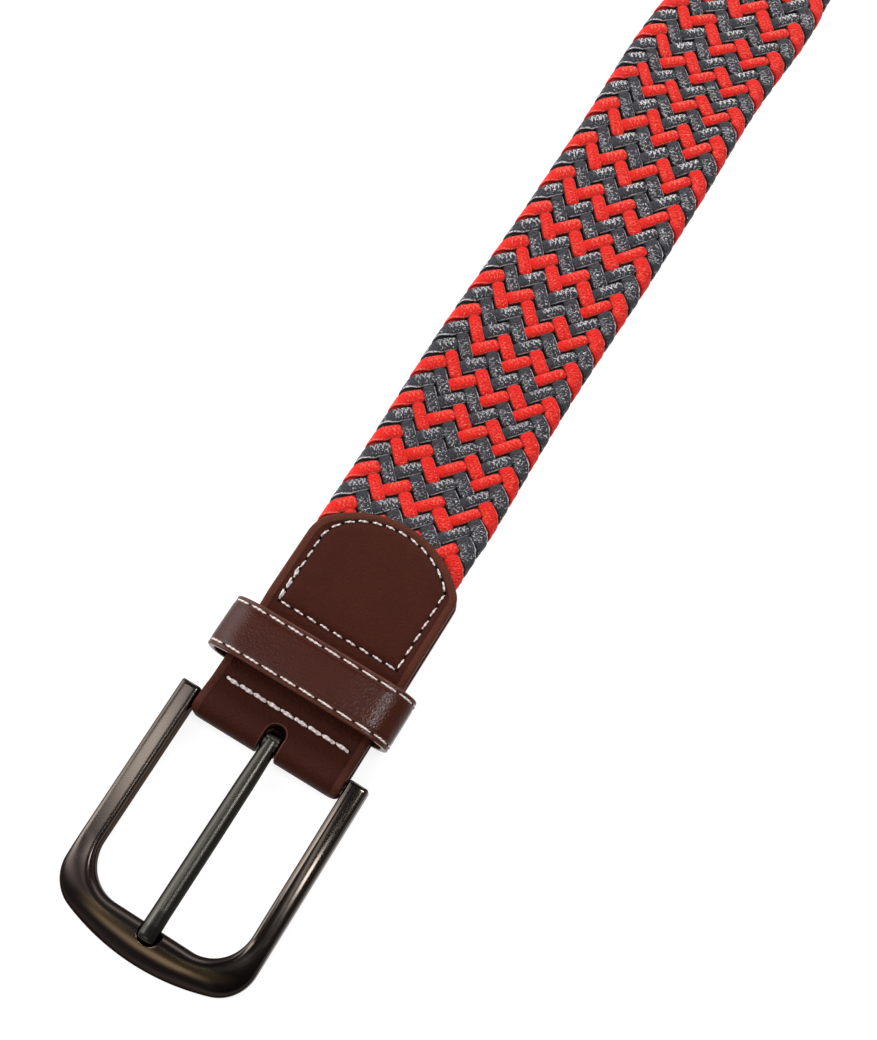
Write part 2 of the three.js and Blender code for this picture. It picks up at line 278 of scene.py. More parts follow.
view = {
    "position": (-148.466, -56.573, 314.326),
    "aim": (-51.43, -3.83, 0.0),
    "upTurn": 31.08,            # degrees from +X to what points up in the picture, on the surface
    "focalPixels": 1550,
    "picture": (877, 1040),
    "sensor": 36,
}


def makeCamera():
    # the lens follows from the focal length in pixels, and the turn from the picture's upright
    data = bpy.data.cameras.new("camera")
    data.sensor_width = view["sensor"]
    data.lens = view["focalPixels"] / max(view["picture"]) * view["sensor"]
    data.clip_start, data.clip_end = 0.01, 20
    eye, aim = Vector(view["position"]) * mm, Vector(view["aim"]) * mm
    ahead = (aim - eye).normalized()
    turn = np.radians(view["upTurn"])
    right = ahead.cross(Vector((np.cos(turn), np.sin(turn), 0))).normalized()
    up = right.cross(ahead)
    camera = bpy.data.objects.new("camera", data)
    camera.matrix_world = Matrix.Translation(eye) @ Matrix((right, up, -ahead)).transposed().to_4x4()
    bpy.context.scene.collection.objects.link(camera)
    bpy.context.scene.camera = camera


studio = {
    "floorSize": 6.0,                 # metres, like the lamps' places and sizes
    "floorDrop": 0.05,                # millimetres below the surface that the belt lies on
    "floorColour": rgb(145, 145, 145),
    "floorGlow": 0.84,                # the paper is lit from below, so shadows hardly show
    "sky": 0.12,                      # the world's brightness overhead
    "horizon": (0.25, 1.3),           # low down: beyond the buckle and beyond the braid
    "horizonAlong": (-0.7, 0.5),      # share towards the braid over which one becomes the other
    "horizonHeight": (0.40, 0.75),    # sine of the height over which the horizon fades
    "rightSide": 0.3,                 # share of the horizon that is left on the buckle's right
    "rightAcross": (-0.7, 0.1),       # share towards the left over which the rest comes back
    "lamps": {
        # name: place, aim, width, height, watts
        "left": ((-0.05, 1.05, 0.75), (-0.08, 0, 0), 0.9, 0.7, 5.6),
        "front": ((1.0, 0.1, 0.75), (0, 0, 0), 1.0, 0.5, 7.9),
        "corner": ((-0.38, 0.92, 1.0), (-0.15, 0.02, 0), 0.44, 0.44, 3.2),
        "barShine": ((-1.5, 0.25, 1.05), (-0.158, 0, 0), 0.8, 0.7, 1.9),
        "armShine": ((-0.103, 0.40, 1.0), (-0.13, 0.02, 0), 0.092, 0.40, 0.78),
        "lowLeft": ((-0.13, 1.4, 0.28), (-0.13, 0, 0), 1.1, 0.4, 1.7),
        "streak": ((-0.1285, -0.15, 1.0), (-0.13, -0.02, 0), 0.030, 0.07, 0.15),
        "streakGlow": ((-0.12, 0.0, 1.0), (-0.13, -0.02, 0), 0.04, 0.18, 0.05),
        "keeperShine": ((0.09, -0.30, 1.0), (-0.09, -0.01, 0), 0.18, 0.22, 3.0),
    },
}


def makeStudio():
    # a sky that is brighter low down, rectangular lamps, and a pale floor
    scene = bpy.context.scene
    scene.view_settings.view_transform = "Standard"
    world = bpy.data.worlds.new("studio")
    sky = Paint(world, "Background", Color=(1, 1, 1, 1))
    ahead, across, height = sky.split(sky.node("TexCoord"))
    behind, beyond = studio["horizon"]
    low = sky.step(*studio["horizonAlong"], ahead) * (beyond - behind) + behind
    right = studio["rightSide"]
    low = low * (sky.step(*studio["rightAcross"], across) * (1 - right) + right)
    share = sky.step(*studio["horizonHeight"][::-1], height)
    sky.finish(Strength=share * (low - studio["sky"]) + studio["sky"])
    scene.world = world
    for name, (position, aim, width, height, watts) in studio["lamps"].items():
        data = bpy.data.lights.new(name, "AREA")
        data.shape, data.size, data.size_y, data.energy = "RECTANGLE", width, height, watts
        lamp = bpy.data.objects.new(name, data)
        aimed = (Vector(aim) - Vector(position)).to_track_quat("-Z", "Y").to_matrix().to_4x4()
        lamp.matrix_world = Matrix.Translation(position) @ aimed
        scene.collection.objects.link(lamp)
    half = studio["floorSize"] / 2 / mm
    edge = np.array([-half, half])
    x, y = np.meshgrid(edge, edge, indexing="ij")
    points = np.stack([x, y, np.full_like(x, -studio["floorDrop"])], axis=-1).reshape(-1, 3)
    floor = meshFrom("floor", points, gridQuads(2, 2))
    paint = newPaint("floor paper", Base_Color=studio["floorColour"], Roughness=0.9,
                     Specular_IOR_Level=0.0, Emission_Color=(1, 1, 1, 1),
                     Emission_Strength=studio["floorGlow"])
    floor.data.materials.append(paint.holder)


makeCamera()
makeStudio()
print("camera and studio set")


# Materials

knit = {
    # places along in millimetres; "side" is 0 at the edge towards the buckle's right, 0.5 on top
    # and 1 at the other edge, and "run" goes from 0 to 1 over each stretch that shows
    "yarn": (9.0, 7.3),                 # how fast the noise changes round a cord and between cords
    "clouds": (1.1, 2.6, 5.0),          # in a millimetre, of the three noises
    "mottle": (0.34, 0.66),
    "stitchShade": ((0.25, 0.95, 0.3), (0.35, 0.9, 0.75)),  # from, to and most
    "wave": (8.5, 37.7, 5.0),           # radians along, radians in a turn, and how it wavers
    "fleck": (6.0, 20.0, 14.0),         # the same for the light flecks, across one side
    "fleckShare": (0.80, 0.97),
    "fleckMottle": (0.50, 0.60),
    "strokeRun": (0.38, 0.95, 0.14),    # where strokes show: from, to and how softly they end
    "strokeSide": (0.36, 0.88, 0.1),
    "saw": (0.95, 1.2),                 # teeth in a millimetre of the zigzag, and their waver
    "sawSide": (0.52, 0.5, 0.25),       # its middle, its reach and its unevenness
    "sawWidth": (0.07, 0.02),
    "sawAlong": (-40, 60),              # x from the belt's middle, over which it gets stronger
    "backSaw": 0.7,                     # how much of it is lost where a cord runs back
    "edgeSide": (0.15, 0.20, 0.05),     # the light yarn along one edge
    "edgeMottle": (0.36, 0.5),
    "rims": (0.11, 0.04, 0.90, 0.97),   # painted shade along both edges of a cord
    "rimShade": 0.85,
    "relief": 0.16,
}


def cordPaint(name, tones):
    # knitted cord: "surface" has millimetres along it and its share round it, "run" goes from
    # 0 to 1 over each stretch that shows and "deep" has millimetres below the braid's surface
    k = knit
    paint = newPaint(name, Roughness=0.85, Specular_IOR_Level=0.2, Sheen_Weight=0.1,
                     Sheen_Roughness=0.5)
    along, around, _ = paint.split(paint.node("UVMap", {"uv_map": "surface"}))
    x, _, _ = paint.split(paint.inMillimetres())
    run, strand, deep = [paint.attribute(key) for key in ("run", "strand", "deep")]
    # the first half turn is the face that shows on a cord's way out, the second on its way back
    side = paint.math("FRACT", around * 2.0)
    back = paint.step(0.49, 0.51, around)
    phase = paint.math("FRACT", run + 1.0)
    perTurn, perCord = k["yarn"]
    yarn = paint.node("CombineXYZ", values={0: along, 1: around * perTurn, 2: strand * perCord})
    coarse, middling, small = k["clouds"]
    wave = paint.noise(yarn, coarse, detail=2)
    mottle = paint.noise(yarn, middling, detail=2, rough=0.6)
    speck = paint.noise(yarn, small, detail=1)

    def crossed(pitch, place):
        # slanted waves one way and the other, which meet in small V shapes
        perLength, perPlace, waver = pitch
        return paint.math("MAXIMUM",
                          paint.math("SINE", along * perLength + place * perPlace + wave * waver),
                          paint.math("SINE", along * perLength - place * perPlace + wave * waver))

    stitch = crossed(k["wave"], around) * 0.5 + 0.5
    cloudy = paint.step(*k["mottle"], mottle * 0.5 + speck * 0.5)
    colour = paint.mix(cloudy, tones["dark"], tones["light"])
    for low, high, most in k["stitchShade"]:
        colour = paint.mix(paint.step(low, high, stitch) * most, tones["dark"], colour)
    # a broken light yarn along one edge, and a zigzag of light stitches along the other with
    # a few flecks between them
    edge = paint.band(*k["edgeSide"], side + (wave - 0.5) * 0.12)
    edge = edge * paint.step(*k["edgeMottle"], mottle)
    teeth, waver = k["saw"]
    saw = paint.math("ABSOLUTE", paint.math("FRACT", along * teeth + wave * waver) - 0.5)
    middle, reach, uneven = k["sawSide"]
    zigzag = paint.math("ABSOLUTE", side + (mottle - 0.5) * uneven - middle - saw * reach)
    zigzag = paint.step(*k["sawWidth"], zigzag) * (1 - back * k["backSaw"])
    zigzag = zigzag * (paint.step(*k["sawAlong"], x) * 0.5 + 0.5)
    fleck = paint.step(*k["fleckShare"], crossed(k["fleck"], side))
    fleck = fleck * paint.step(*k["fleckMottle"], mottle)
    where = paint.band(*k["strokeRun"], phase + back * 0.3) * paint.band(*k["strokeSide"], side)
    strokes = paint.math("MAXIMUM", zigzag, fleck) * where
    colour = paint.mix(paint.math("MAXIMUM", edge, strokes) * tones["lineShare"], colour, tones["line"])
    # painted shade: a cord darkens along both its edges and where it lies deep between the others
    rims = k["rims"]
    rim = paint.step(*rims[:2], side) + paint.step(*rims[2:], side)
    gap = paint.math("MAXIMUM", paint.step(*tones["gap"], deep), rim * k["rimShade"])
    colour = paint.mix(gap, colour, tones["gapShadeColour"])
    bump = paint.bump(stitch * 0.6 + mottle * 0.8, k["relief"])
    return paint.finish(Base_Color=colour, Normal=bump)


cordTones = {
    # gap is the depth over which the painted shade between cords comes in; the colour after it is that
    # shade
    "red": {"dark": rgb(214, 24, 18), "light": rgb(255, 76, 56), "line": rgb(255, 146, 124),
            "lineShare": 0.5, "gap": (0.24, 0.58), "gapShadeColour": rgb(70, 2, 4)},
    "grey": {"dark": rgb(47, 47, 53), "light": rgb(108, 106, 111), "line": rgb(222, 218, 220),
             "lineShare": 0.9, "gap": (0.24, 0.58), "gapShadeColour": rgb(9, 8, 11)},
}

leatherTones = {
    "base": rgb(72, 31, 20),
    "deep": rgb(60, 25, 16),
    # the rim tone is painted sheen on the rounded edge
    "rim": rgb(102, 56, 42),
    # a dark tone for creases and grain, and for painted shade and shadow
    "creaseAndShade": rgb(36, 14, 10),
    "paint": rgb(72, 34, 25),
    "line": rgb(140, 96, 74),
}

leatherGrain = {"cloud": 0.12, "cells": 2.2, "fine": 3.5, "rough": (0.3, 0.85)}

leatherLayers = (
    # value, limits, most and tone. The limits are from, to and how softly the ends fade, or only
    # where a layer begins and where it is full. Rim, seam and lip are millimetres from the cut
    # edge, the stitch line and the slot, and x from the belt's middle marks the strip by the fold
    # that lies in the keeper's painted shadow.
    # painted sheen: a lighter band over the rounded edge
    ("rim", (0.12, 1.55, 0.3), 0.55, "rim"),
    ("rim", (1.85, 1.95, 0.4), 0.3, "creaseAndShade"),
    ("rim", (0.12, 0.0), 1.0, "paint"),
    # painted shade in the grooves of the stitch lines
    ("seam", (0.9, 0.2), 0.45, "creaseAndShade"),
    ("lip", (0.22, 0.30, 0.08), 0.8, "line"),
    ("lip", (0.14, 0.02), 0.9, "creaseAndShade"),
    ("fine", (0.3, 0.7), 0.24, "creaseAndShade"),
    # painted shadow of the keeper, over the strip towards the fold
    ("x", (-99, -104), 0.3, "creaseAndShade"),
)


def leatherPaint(name, roughness=0.38, gloss=0.06, relief=0.10):
    # cloudy brown, with the layers laid over it in turn, and a fine grain
    tones, grain = leatherTones, leatherGrain
    paint = newPaint(name, Specular_IOR_Level=gloss)
    values = {key: paint.attribute(key) for key in ("rim", "seam", "lip")}
    at = paint.inMillimetres()
    values["x"] = paint.split(at)[0]
    values["fine"] = paint.noise(at, grain["fine"], detail=3)
    cloud = paint.noise(at, grain["cloud"], detail=4, rough=0.6)
    colour = paint.mix(cloud, tones["deep"], tones["base"])
    for key, limits, most, tone in leatherLayers:
        laid = paint.band if len(limits) == 3 else paint.step
        colour = paint.mix(laid(*limits, values[key]) * most, colour, tones[tone])
    swing, least = grain["rough"]
    rough = values["fine"] * roughness * swing + roughness * least
    bump = paint.bump(paint.cells(at, grain["cells"]), relief)
    return paint.finish(Base_Color=colour, Roughness=rough,
                        Normal=paint.bump(values["fine"], relief, under=bump))


thread = {
    "dark": rgb(214, 194, 190),
    "light": rgb(255, 246, 242),
    "speck": rgb(130, 94, 88),
    "twist": (5.5, 12.57),          # radians in a millimetre and in a turn
    "clouds": (3.0, 5.0),
    "specks": (0.62, 0.70, 0.4),    # from, to and most
    "relief": 0.12,
}


def threadPaint():
    # "surface" has millimetres along a stitch and the share round it: two twisted plies
    t = thread
    paint = newPaint("sewing thread", Roughness=0.75, Specular_IOR_Level=0.3)
    along, around, _ = paint.split(paint.node("UVMap", {"uv_map": "surface"}))
    perLength, perTurn = t["twist"]
    plies = paint.math("SINE", along * perLength + around * perTurn) * 0.5 + 0.5
    at = paint.inMillimetres()
    fuzz, speck = [paint.noise(at, scale, detail) for scale, detail in zip(t["clouds"], (2, 1))]
    colour = paint.mix(plies * 0.5 + fuzz * 0.5, t["dark"], t["light"])
    low, high, most = t["specks"]
    colour = paint.mix(paint.step(low, high, speck) * most, colour, t["speck"])
    return paint.finish(Base_Color=colour, Normal=paint.bump(plies + fuzz, t["relief"]))


metalTones = {
    "frame": (rgb(72, 66, 62), rgb(82, 75, 68)),
    "prong": (rgb(62, 61, 58), rgb(70, 68, 63)),
    # the darker colour towards the end bar is painted shade
    "bar": rgb(46, 40, 38),
    # the warm band on the end bar is a painted reflection
    "warmSheen": rgb(112, 93, 71),
    "edge": (0.36, 0.34, 0.33, 1),
}

metalPaintedLightAndRoughness = {
    # x from the pivot bar; y across; the frame flag is 1 on the frame and 0 on the prong
    "barFrom": (-35, -44),          # over which the arms' finish becomes the end bar's, with its painted warm reflection
    "cornerFrom": (-30, -42),       # over which the colour gets darker: painted shade
    "barEdge": -49.8,
    "bow": 105,                     # twice the radius of the end bar's outer edge
    "warmSheen": (3.5, 4.1, 1.3),        # the painted warm reflection: from, to and softness, from that edge
    "warmSheenAcross": (-14, 10, 7),
    "rightArm": (6, -6),            # y over which the frame's right half gets glossier
    "clouds": 0.08,
    "waver": 0.6,                   # millimetres by which the clouds move the band
    "roughness": {"plain": 0.28, "onFrame": 0.12, "bar": 0.16, "right": 0.07},
}


def metalPaint(name, onFrame, tones):
    # dark plating, with painted shade that darkens it towards the end bar; on the end bar a softly
    # golden band follows the bow: a painted warm reflection
    w = metalPaintedLightAndRoughness
    paint = newPaint(name, Metallic=1.0, Specular_Tint=metalTones["edge"])
    at = paint.inMillimetres()
    x, y, _ = paint.split(at)
    cloud = paint.noise(at, w["clouds"], detail=2)
    bar, corner = [paint.step(pivotX + w[key][0], pivotX + w[key][1], x) * onFrame
                   for key in ("barFrom", "cornerFrom")]
    fromEdge = x - (pivotX + w["barEdge"]) - y * y / w["bow"]
    warmSheen = paint.band(*w["warmSheen"], fromEdge + (cloud - 0.5) * w["waver"])
    warmSheen = warmSheen * paint.band(*w["warmSheenAcross"], y)
    # painted shade: the colour darkens towards the end bar
    colour = paint.mix(corner, paint.mix(cloud, *tones), metalTones["bar"])
    # painted reflection: a warm band along the end bar's bow
    colour = paint.mix(bar * warmSheen, colour, metalTones["warmSheen"])
    rough = w["roughness"]
    polished = paint.step(*w["rightArm"], y) * onFrame
    roughness = bar * rough["bar"] - polished * rough["right"] + (rough["plain"] - onFrame * rough["onFrame"])
    return paint.finish(Base_Color=colour, Roughness=roughness)


materials = {
    "red": cordPaint("red cord", cordTones["red"]),
    "grey": cordPaint("grey cord", cordTones["grey"]),
    "leather": leatherPaint("brown leather"),
    "keeper": leatherPaint("keeper leather", 0.20, 0.22, 0.04),
    "thread": threadPaint(),
    # dark ovals that paint the shade of the needle holes
    "hole": newPaint("needle hole shade", Base_Color=rgb(14, 6, 5), Roughness=0.95,
                     Specular_IOR_Level=0.1).holder,
    "metal": metalPaint("gunmetal", 1.0, metalTones["frame"]),
    "prong": metalPaint("prong gunmetal", 0.0, metalTones["prong"]),
}
print("materials made")


# Braid: seventeen cords in a flat plait, each over two and under two

braid = {
    "strands": 17,
    "redStrands": (0, 2, 4, 6, 8, 11, 13, 15),
    "firstRow": 45.42,              # where row 0 meets the left edge, and how rows follow on
    "rowPitch": 5.0495,
    "rowGrowth": 0.004616,
    "columnPitch": 2.0,
    "halfWidth": 1.64,              # of a cord, flattened a little
    "halfHeight": 0.96,
    "square": 0.78,                 # power on the section's cosine and sine; 1 is an ellipse
    "rise": 0.91,                   # how far a cord's middle lies above or below the braid's
    "edgeReach": 0.45,              # how much further out a cord turns round than it rises
    "wrap": 1.16,                   # columns from an edge over which a cord turns round
    "crest": 3.6,                   # how flat the wave's crests are; 0 is a plain sine
    "pinch": 0.05,                  # how much narrower a cord is where it changes sides
    "bow": 0.22,                    # how far a cord on its way back bulges to the buckle's right
    "bowWay": (0.6, -0.8),          # and the direction of that, along and across
    "settle": 1.2,                  # columns over which the swing begins after an edge
    "swing": 0.16,                  # how much more a cord moves across while it shows, in columns
    "sides": 16,
    "step": 0.34,
    "hiddenStep": 1.1,
    "ends": (24.6, 261.0),
    "shown": (44.0, 226.0),
    "half": 17.0,                   # half width and height that the rule above gives
    "halfTall": 1.85,
    "levels": {
        "x": (24.5, 28.5, 53.6, 61.5, 166, 206, 214, 222.3, 261),
        "under": (1.7, 1.7, 1.7, 0, 0, 0, 0, 1.5, 1.5),
        "top": (3.5, 4.3, 4.3, 3.7, 3.7, 3.7, 3.7, 3.3, 3.3),
        "half": (16.4, 16.4, 16.7, 16.9, 17.0, 17.4, 17.1, 16.4, 16.4),
    },
    "bends": {"x": (54, 97, 136, 158, 184, 222), "aside": (1.05, 1.85, 1.2, 1.2, 1.75, 0)},
    # how far the rows are moved along at both edges, and back in the middle; "reach" is from
    # the middle to where the edges' shift holds
    "rowShift": {"x": (54, 70, 90, 118, 140, 160, 174, 190, 212),
                 "left": (1.9, 1.1, -0.1, -0.75, -0.5, 0.2, 0.9, -1.0, -2.6),
                 "right": (5.0, 3.3, 1.65, 0.1, 0.9, 1.3, 1.3, -1.0, -3.4),
                 "middle": 1.85, "reach": 16.0},
}


def cordLevel(column):
    # 1 over and -1 under, for a cord on its way from the left edge: over columns 1 and 2,
    # under 3 and 4, and so on. A sine of four columns with flattened crests, level at both ends.
    wave = np.sin(np.pi / 2 * (np.clip(column, 1.5, braid["strands"] - 1.5) - 0.5))
    return np.tanh(braid["crest"] * wave) / np.tanh(braid["crest"])


def braidCords(strands, x):
    # A cord crosses two columns in each row. From the left edge it runs to the right, turns
    # round the edge in a half circle, and runs back with over and under swapped. A flattened
    # round section is carried along that path, its face towards the side that shows.
    b = braid
    pitch, growth = b["rowPitch"], b["rowGrowth"]
    row = (np.sqrt(pitch ** 2 + 4 * growth * (x - b["firstRow"])) - pitch) / (2 * growth)
    lap = (2 * (row[None, :] - strands[:, None])) % (2 * b["strands"])
    column = np.minimum(lap, 2 * b["strands"] - lap)
    sign = np.where(lap < b["strands"], 1.0, -1.0)
    fromLeft = (lap + b["strands"]) % (2 * b["strands"]) - b["strands"]
    fromRight = lap - b["strands"]
    leftTurn, rightTurn = [np.pi / 2 * np.clip(e / b["wrap"], -1, 1) for e in (fromLeft, fromRight)]
    atLeft, atRight = np.abs(fromLeft) < b["wrap"], np.abs(fromRight) < b["wrap"]
    inset = b["wrap"] * b["columnPitch"]
    middle = b["strands"] / 2 * b["columnPitch"]
    inner = ease(b["wrap"], b["wrap"] + b["settle"], np.minimum(column, b["strands"] - column))
    swing = -sign * b["swing"] * np.cos(np.pi / 2 * (column - 0.5)) * inner
    side = middle - (column + swing) * b["columnPitch"]
    reach = b["rise"] + b["edgeReach"]
    side = np.where(atLeft, middle - inset + reach * np.cos(leftTurn), side)
    side = np.where(atRight, inset - middle - reach * np.cos(rightTurn), side)
    level = cordLevel(column)
    up = sign * level * b["rise"]
    up = np.where(atLeft, b["rise"] * np.sin(leftTurn), up)
    up = np.where(atRight, b["rise"] * np.sin(rightTurn), up)
    bulge = b["bow"] * np.maximum(sign * level, 0) * (sign < 0) * ~(atLeft | atRight)
    path = np.stack([x + b["bowWay"][0] * bulge, side + b["bowWay"][1] * bulge, up], axis=-1)
    ahead = unit(np.gradient(path, axis=1) / np.gradient(x)[None, :, None])
    zero = np.zeros_like(lap)
    face = np.stack([zero, zero, sign], axis=-1)
    for at, turn, way in ((atLeft, leftTurn, 1), (atRight, rightTurn, -1)):
        face = np.where(at[..., None], np.stack([zero, np.cos(turn), way * np.sin(turn)], -1), face)
    face = unit(face - ahead * np.sum(face * ahead, axis=-1, keepdims=True))
    across = np.cross(ahead, face)
    angle = 2 * np.pi * np.arange(b["sides"]) / b["sides"]
    cosine, sine = [np.sign(f) * np.abs(f) ** b["square"] for f in (np.cos(angle), np.sin(angle))]
    thick = (1 - b["pinch"] * (1 - np.abs(level)))[:, :, None, None]
    points = path[:, :, None, :] + thick * (across[:, :, None, :] * (b["halfWidth"] * cosine)[:, None]
                                            + face[:, :, None, :] * (b["halfHeight"] * sine)[:, None])
    # how far below the braid's top each point lies, which sets the painted shade between cords
    outwards = np.maximum(np.abs(points[..., 1]) - (middle - inset), 0)
    deep = b["halfTall"] - np.hypot(outwards, points[..., 2])
    # into the strap's real rows, width, height and bend
    shift = b["rowShift"]
    left, right = [np.interp(points[..., 0], shift["x"], shift[key]) for key in ("left", "right")]
    share = np.clip(points[..., 1] / shift["reach"], -1, 1)
    points[..., 0] += (left * (1 + share) + right * (1 - share)) / 2
    points[..., 0] -= shift["middle"] * (1 - share ** 2)
    here = points[..., 0]
    under, top, half = [easedColumn(b["levels"], key, here) for key in ("under", "top", "half")]
    aside = easedColumn(b["bends"], "aside", here)
    points[..., 1] = aside + points[..., 1] * half / b["half"]
    points[..., 2] = (under + top) / 2 + points[..., 2] * (top - under) / 2 / b["halfTall"]
    gone = np.linalg.norm(np.diff(path, axis=1), axis=-1)
    along = np.concatenate([zero[:, :1], np.cumsum(gone, axis=1)], axis=1)
    # 0 to 1 over each two columns where the cord shows, -1 to 0 over each two where it doesn't
    run = (lap + np.where(sign > 0, 1.5, 0.5)) % 4 / 2 - 1
    return points, along, run, deep


def makeCords(name, slot, strands, material):
    # the cords of one colour as closed sweeps, with finer rows where they show
    b = braid
    x = np.concatenate([spacing(b["ends"][0], b["shown"][0], b["hiddenStep"])[:-1],
                        spacing(*b["shown"], b["step"]),
                        spacing(b["shown"][1], b["ends"][1], b["hiddenStep"])[1:]])
    points, along, run, deep = braidCords(np.array(strands), x)
    quads, caps = sweptFaces(len(strands), len(x), b["sides"])
    values = {"run": np.repeat(run, b["sides"], axis=1), "deep": deep,
              "strand": np.repeat(np.array(strands, float), len(x) * b["sides"])}
    piece = meshFrom(name, points.reshape(-1, 3), quads, caps, values, sweptCorners(along, b["sides"]))
    dress(piece, "belt", slot, material, "braid")


redStrands = list(braid["redStrands"])
greyStrands = [k for k in range(braid["strands"]) if k not in redStrands]
makeCords("red_cords", "red_cord", redStrands, materials["red"])
makeCords("grey_cords", "grey_cord", greyStrands, materials["grey"])


# Leather shared by tab and tip

leather = {
    "half": 17.5,
    "wall": 1.4,
    "endRadius": 22.0,
    "cornerRadius": 4.0,            # on the right; the flap's left corner is rounder
    "leftCorner": 8.0,
    "edgeDrop": 0.5,                # the upper edge is rounded off
    "edgeWidth": 1.2,
    "far": 50.0,                    # stands for "nowhere near" in a distance
    "weld": 0.002,
    "sharp": 50,                    # degrees from which an edge is drawn sharp
}


def roundEnd(endRadius, cornerRadius):
    # a broad arc through the apex between two corner arcs: the corner's centre behind the apex,
    # and the angle at which the arcs meet
    cornerY = leather["half"] - cornerRadius
    reach = np.sqrt((endRadius - cornerRadius) ** 2 - cornerY ** 2)
    return endRadius - reach, cornerY, np.arctan2(cornerY, reach)


def endHalf(before, endRadius, cornerRadius):
    # half width of a rounded end at a distance before its apex
    back, cornerY, meet = roundEnd(endRadius, cornerRadius)
    onCorner = cornerY + np.sqrt(np.maximum(cornerRadius ** 2 - (back - before) ** 2, 0))
    onArc = np.sqrt(np.maximum(endRadius ** 2 - (endRadius - before) ** 2, 0))
    straight = np.where(before < back, onCorner, leather["half"])
    return np.where(before < endRadius * (1 - np.cos(meet)), onArc, straight)


def endDistance(before, y, endRadius, cornerRadius):
    # how far inside a rounded strip a point lies: from the sides, the broad arc or a corner arc
    back, cornerY, meet = roundEnd(endRadius, cornerRadius)
    far = np.abs(y)
    inside = np.minimum(leather["half"] - far,
                        endRadius - np.hypot(np.maximum(endRadius - before, 0), y))
    dx, dy = back - before, far - cornerY
    onCorner = (dx > 0) & (dy > 0) & (np.arctan2(dy, dx) > meet)
    return np.maximum(np.where(onCorner, cornerRadius - np.hypot(dx, dy), inside), 0)


def endStations(endRadius, cornerRadius, turns):
    # distances before the apex, closer together towards it
    back, _, meet = roundEnd(endRadius, cornerRadius)
    onCorner = back - cornerRadius * np.cos(np.linspace(np.pi / 2, meet, turns // 4 + 1))
    onArc = endRadius * (1 - np.cos(np.linspace(meet, 0, turns)))
    return np.concatenate([onCorner, onArc[1:]])


def merged(*runs, closest=0.02):
    # all values in rising order, without those that nearly repeat the one before
    values = np.unique(np.concatenate(runs))
    return values[np.concatenate([[True], np.diff(values) > closest])]


def edgeFall(distance):
    # quarter ellipse over the last stretch before an edge
    share = 1 - np.clip(distance / leather["edgeWidth"], 0, 1)
    return leather["edgeDrop"] * (1 - np.sqrt(1 - share ** 2))


def lineDistance(x, y, line):
    # shortest distance from each point to a line of straight pieces
    best = np.full(x.shape, 1e3)
    for start, end in zip(line[:-1], line[1:]):
        step = end - start
        share = ((x - start[0]) * step[0] + (y - start[1]) * step[1]) / (step @ step)
        share = np.clip(share, 0, 1)
        best = np.minimum(best, np.hypot(x - start[0] - share * step[0],
                                         y - start[1] - share * step[1]))
    return best


# Tab: a strip folded round the pivot bar, with a slot for the prong and a rounded flap

tab = {
    "apex": 53.4,
    "foldRadius": 3.0,
    "eyeRadius": 1.6,
    "foldCorner": 1.2,
    "height": 6.0,
    "dip": 1.0,                     # how far the upper layer sinks between fold and flap
    "dipStart": (0.5, 6.5),
    "dipEnd": (21.5, 27.5),
    "slotHalf": 2.1,
    "slotEnd": 3.9,
    "underSlotEnd": 2.3,            # in the under layer
    "slotAside": -0.4,
    "slotBlend": 30,                # x by which the panels' inner edges are back in the middle
    "lip": (0.10, 0.32, 0.18),      # raised line round the slot: height, place and width
    "slotEdgeDrop": 0.35,
    "underLip": 0.2,                # how much of that line the under layer has
    "underFall": 0.6,               # and how much of the outer edges' rounding
    "groove": (0.22, 0.75),         # how deep and wide the stitches pull the flap in
    "puff": (0.15, 5),              # padding inside the flap's seam, and over which width
    "step": 0.42,
    "underStep": 1.2,
    "foldRows": 24,
    "slotRows": 10,
    "endRows": 16,                  # over the rounded end, for a step of 1
}

flapSeam = {"start": 25.75, "corner": 44.95, "apex": 51.45, "half": 14.3,
            "bendFrom": 41.6, "bendOver": 45.55, "bendTo": 9.8, "arcPoints": 33, "bendPoints": 12}
barSeam = {"x": 6.65, "from": 14.8, "to": -14.8}


def flapSeamLines():
    # the flap's stitch line as four runs: bottom, right side, end arc and left side. On the
    # left a parabola takes the arc round the corner, from "bendTo" off the middle.
    s = flapSeam
    rise = s["apex"] - s["corner"]
    radius = (s["half"] ** 2 + rise ** 2) / (2 * rise)
    reach = np.arcsin(s["half"] / radius)
    angle = np.linspace(-reach, reach, s["arcPoints"])
    arc = np.stack([s["apex"] - radius + radius * np.cos(angle), radius * np.sin(angle)], axis=-1)
    arc = arc[arc[:, 1] < s["bendTo"]]
    corners = [np.array(p) for p in ((s["start"], s["half"]), (s["start"], -s["half"]),
                                     (s["corner"], -s["half"]), (s["bendOver"], s["half"]),
                                     (s["bendFrom"], s["half"]))]
    t = np.linspace(0, 1, s["bendPoints"])[1:, None]
    bend = arc[-1] * (1 - t) ** 2 + corners[3] * 2 * t * (1 - t) + corners[4] * t ** 2
    return {"bottom": np.array([corners[0], corners[1]]), "right": np.array([corners[1], corners[2]]),
            "arc": np.concatenate([arc, bend]), "left": np.array([corners[4], corners[0]])}


seamLines = flapSeamLines()
seamLoop = np.concatenate([seamLines[key] for key in ("bottom", "right", "arc", "left")])
barLine = np.array([[barSeam["x"], barSeam["from"]], [barSeam["x"], barSeam["to"]]])


def tabTop(x):
    # height of the upper layer, which sinks after the fold and comes back under the flap
    sunk = ease(*tab["dipStart"], x) - ease(*tab["dipEnd"], x)
    return tab["height"] - tab["dip"] * sunk


def seamDistance(x, y):
    # from the nearer of the flap's stitch line and the one by the bar
    closed = np.concatenate([seamLoop, seamLoop[:1]])
    closed = closed[np.concatenate([[True], np.any(np.diff(closed, axis=0) != 0, axis=1)])]
    return np.minimum(lineDistance(x, y, closed), lineDistance(x, y, barLine))


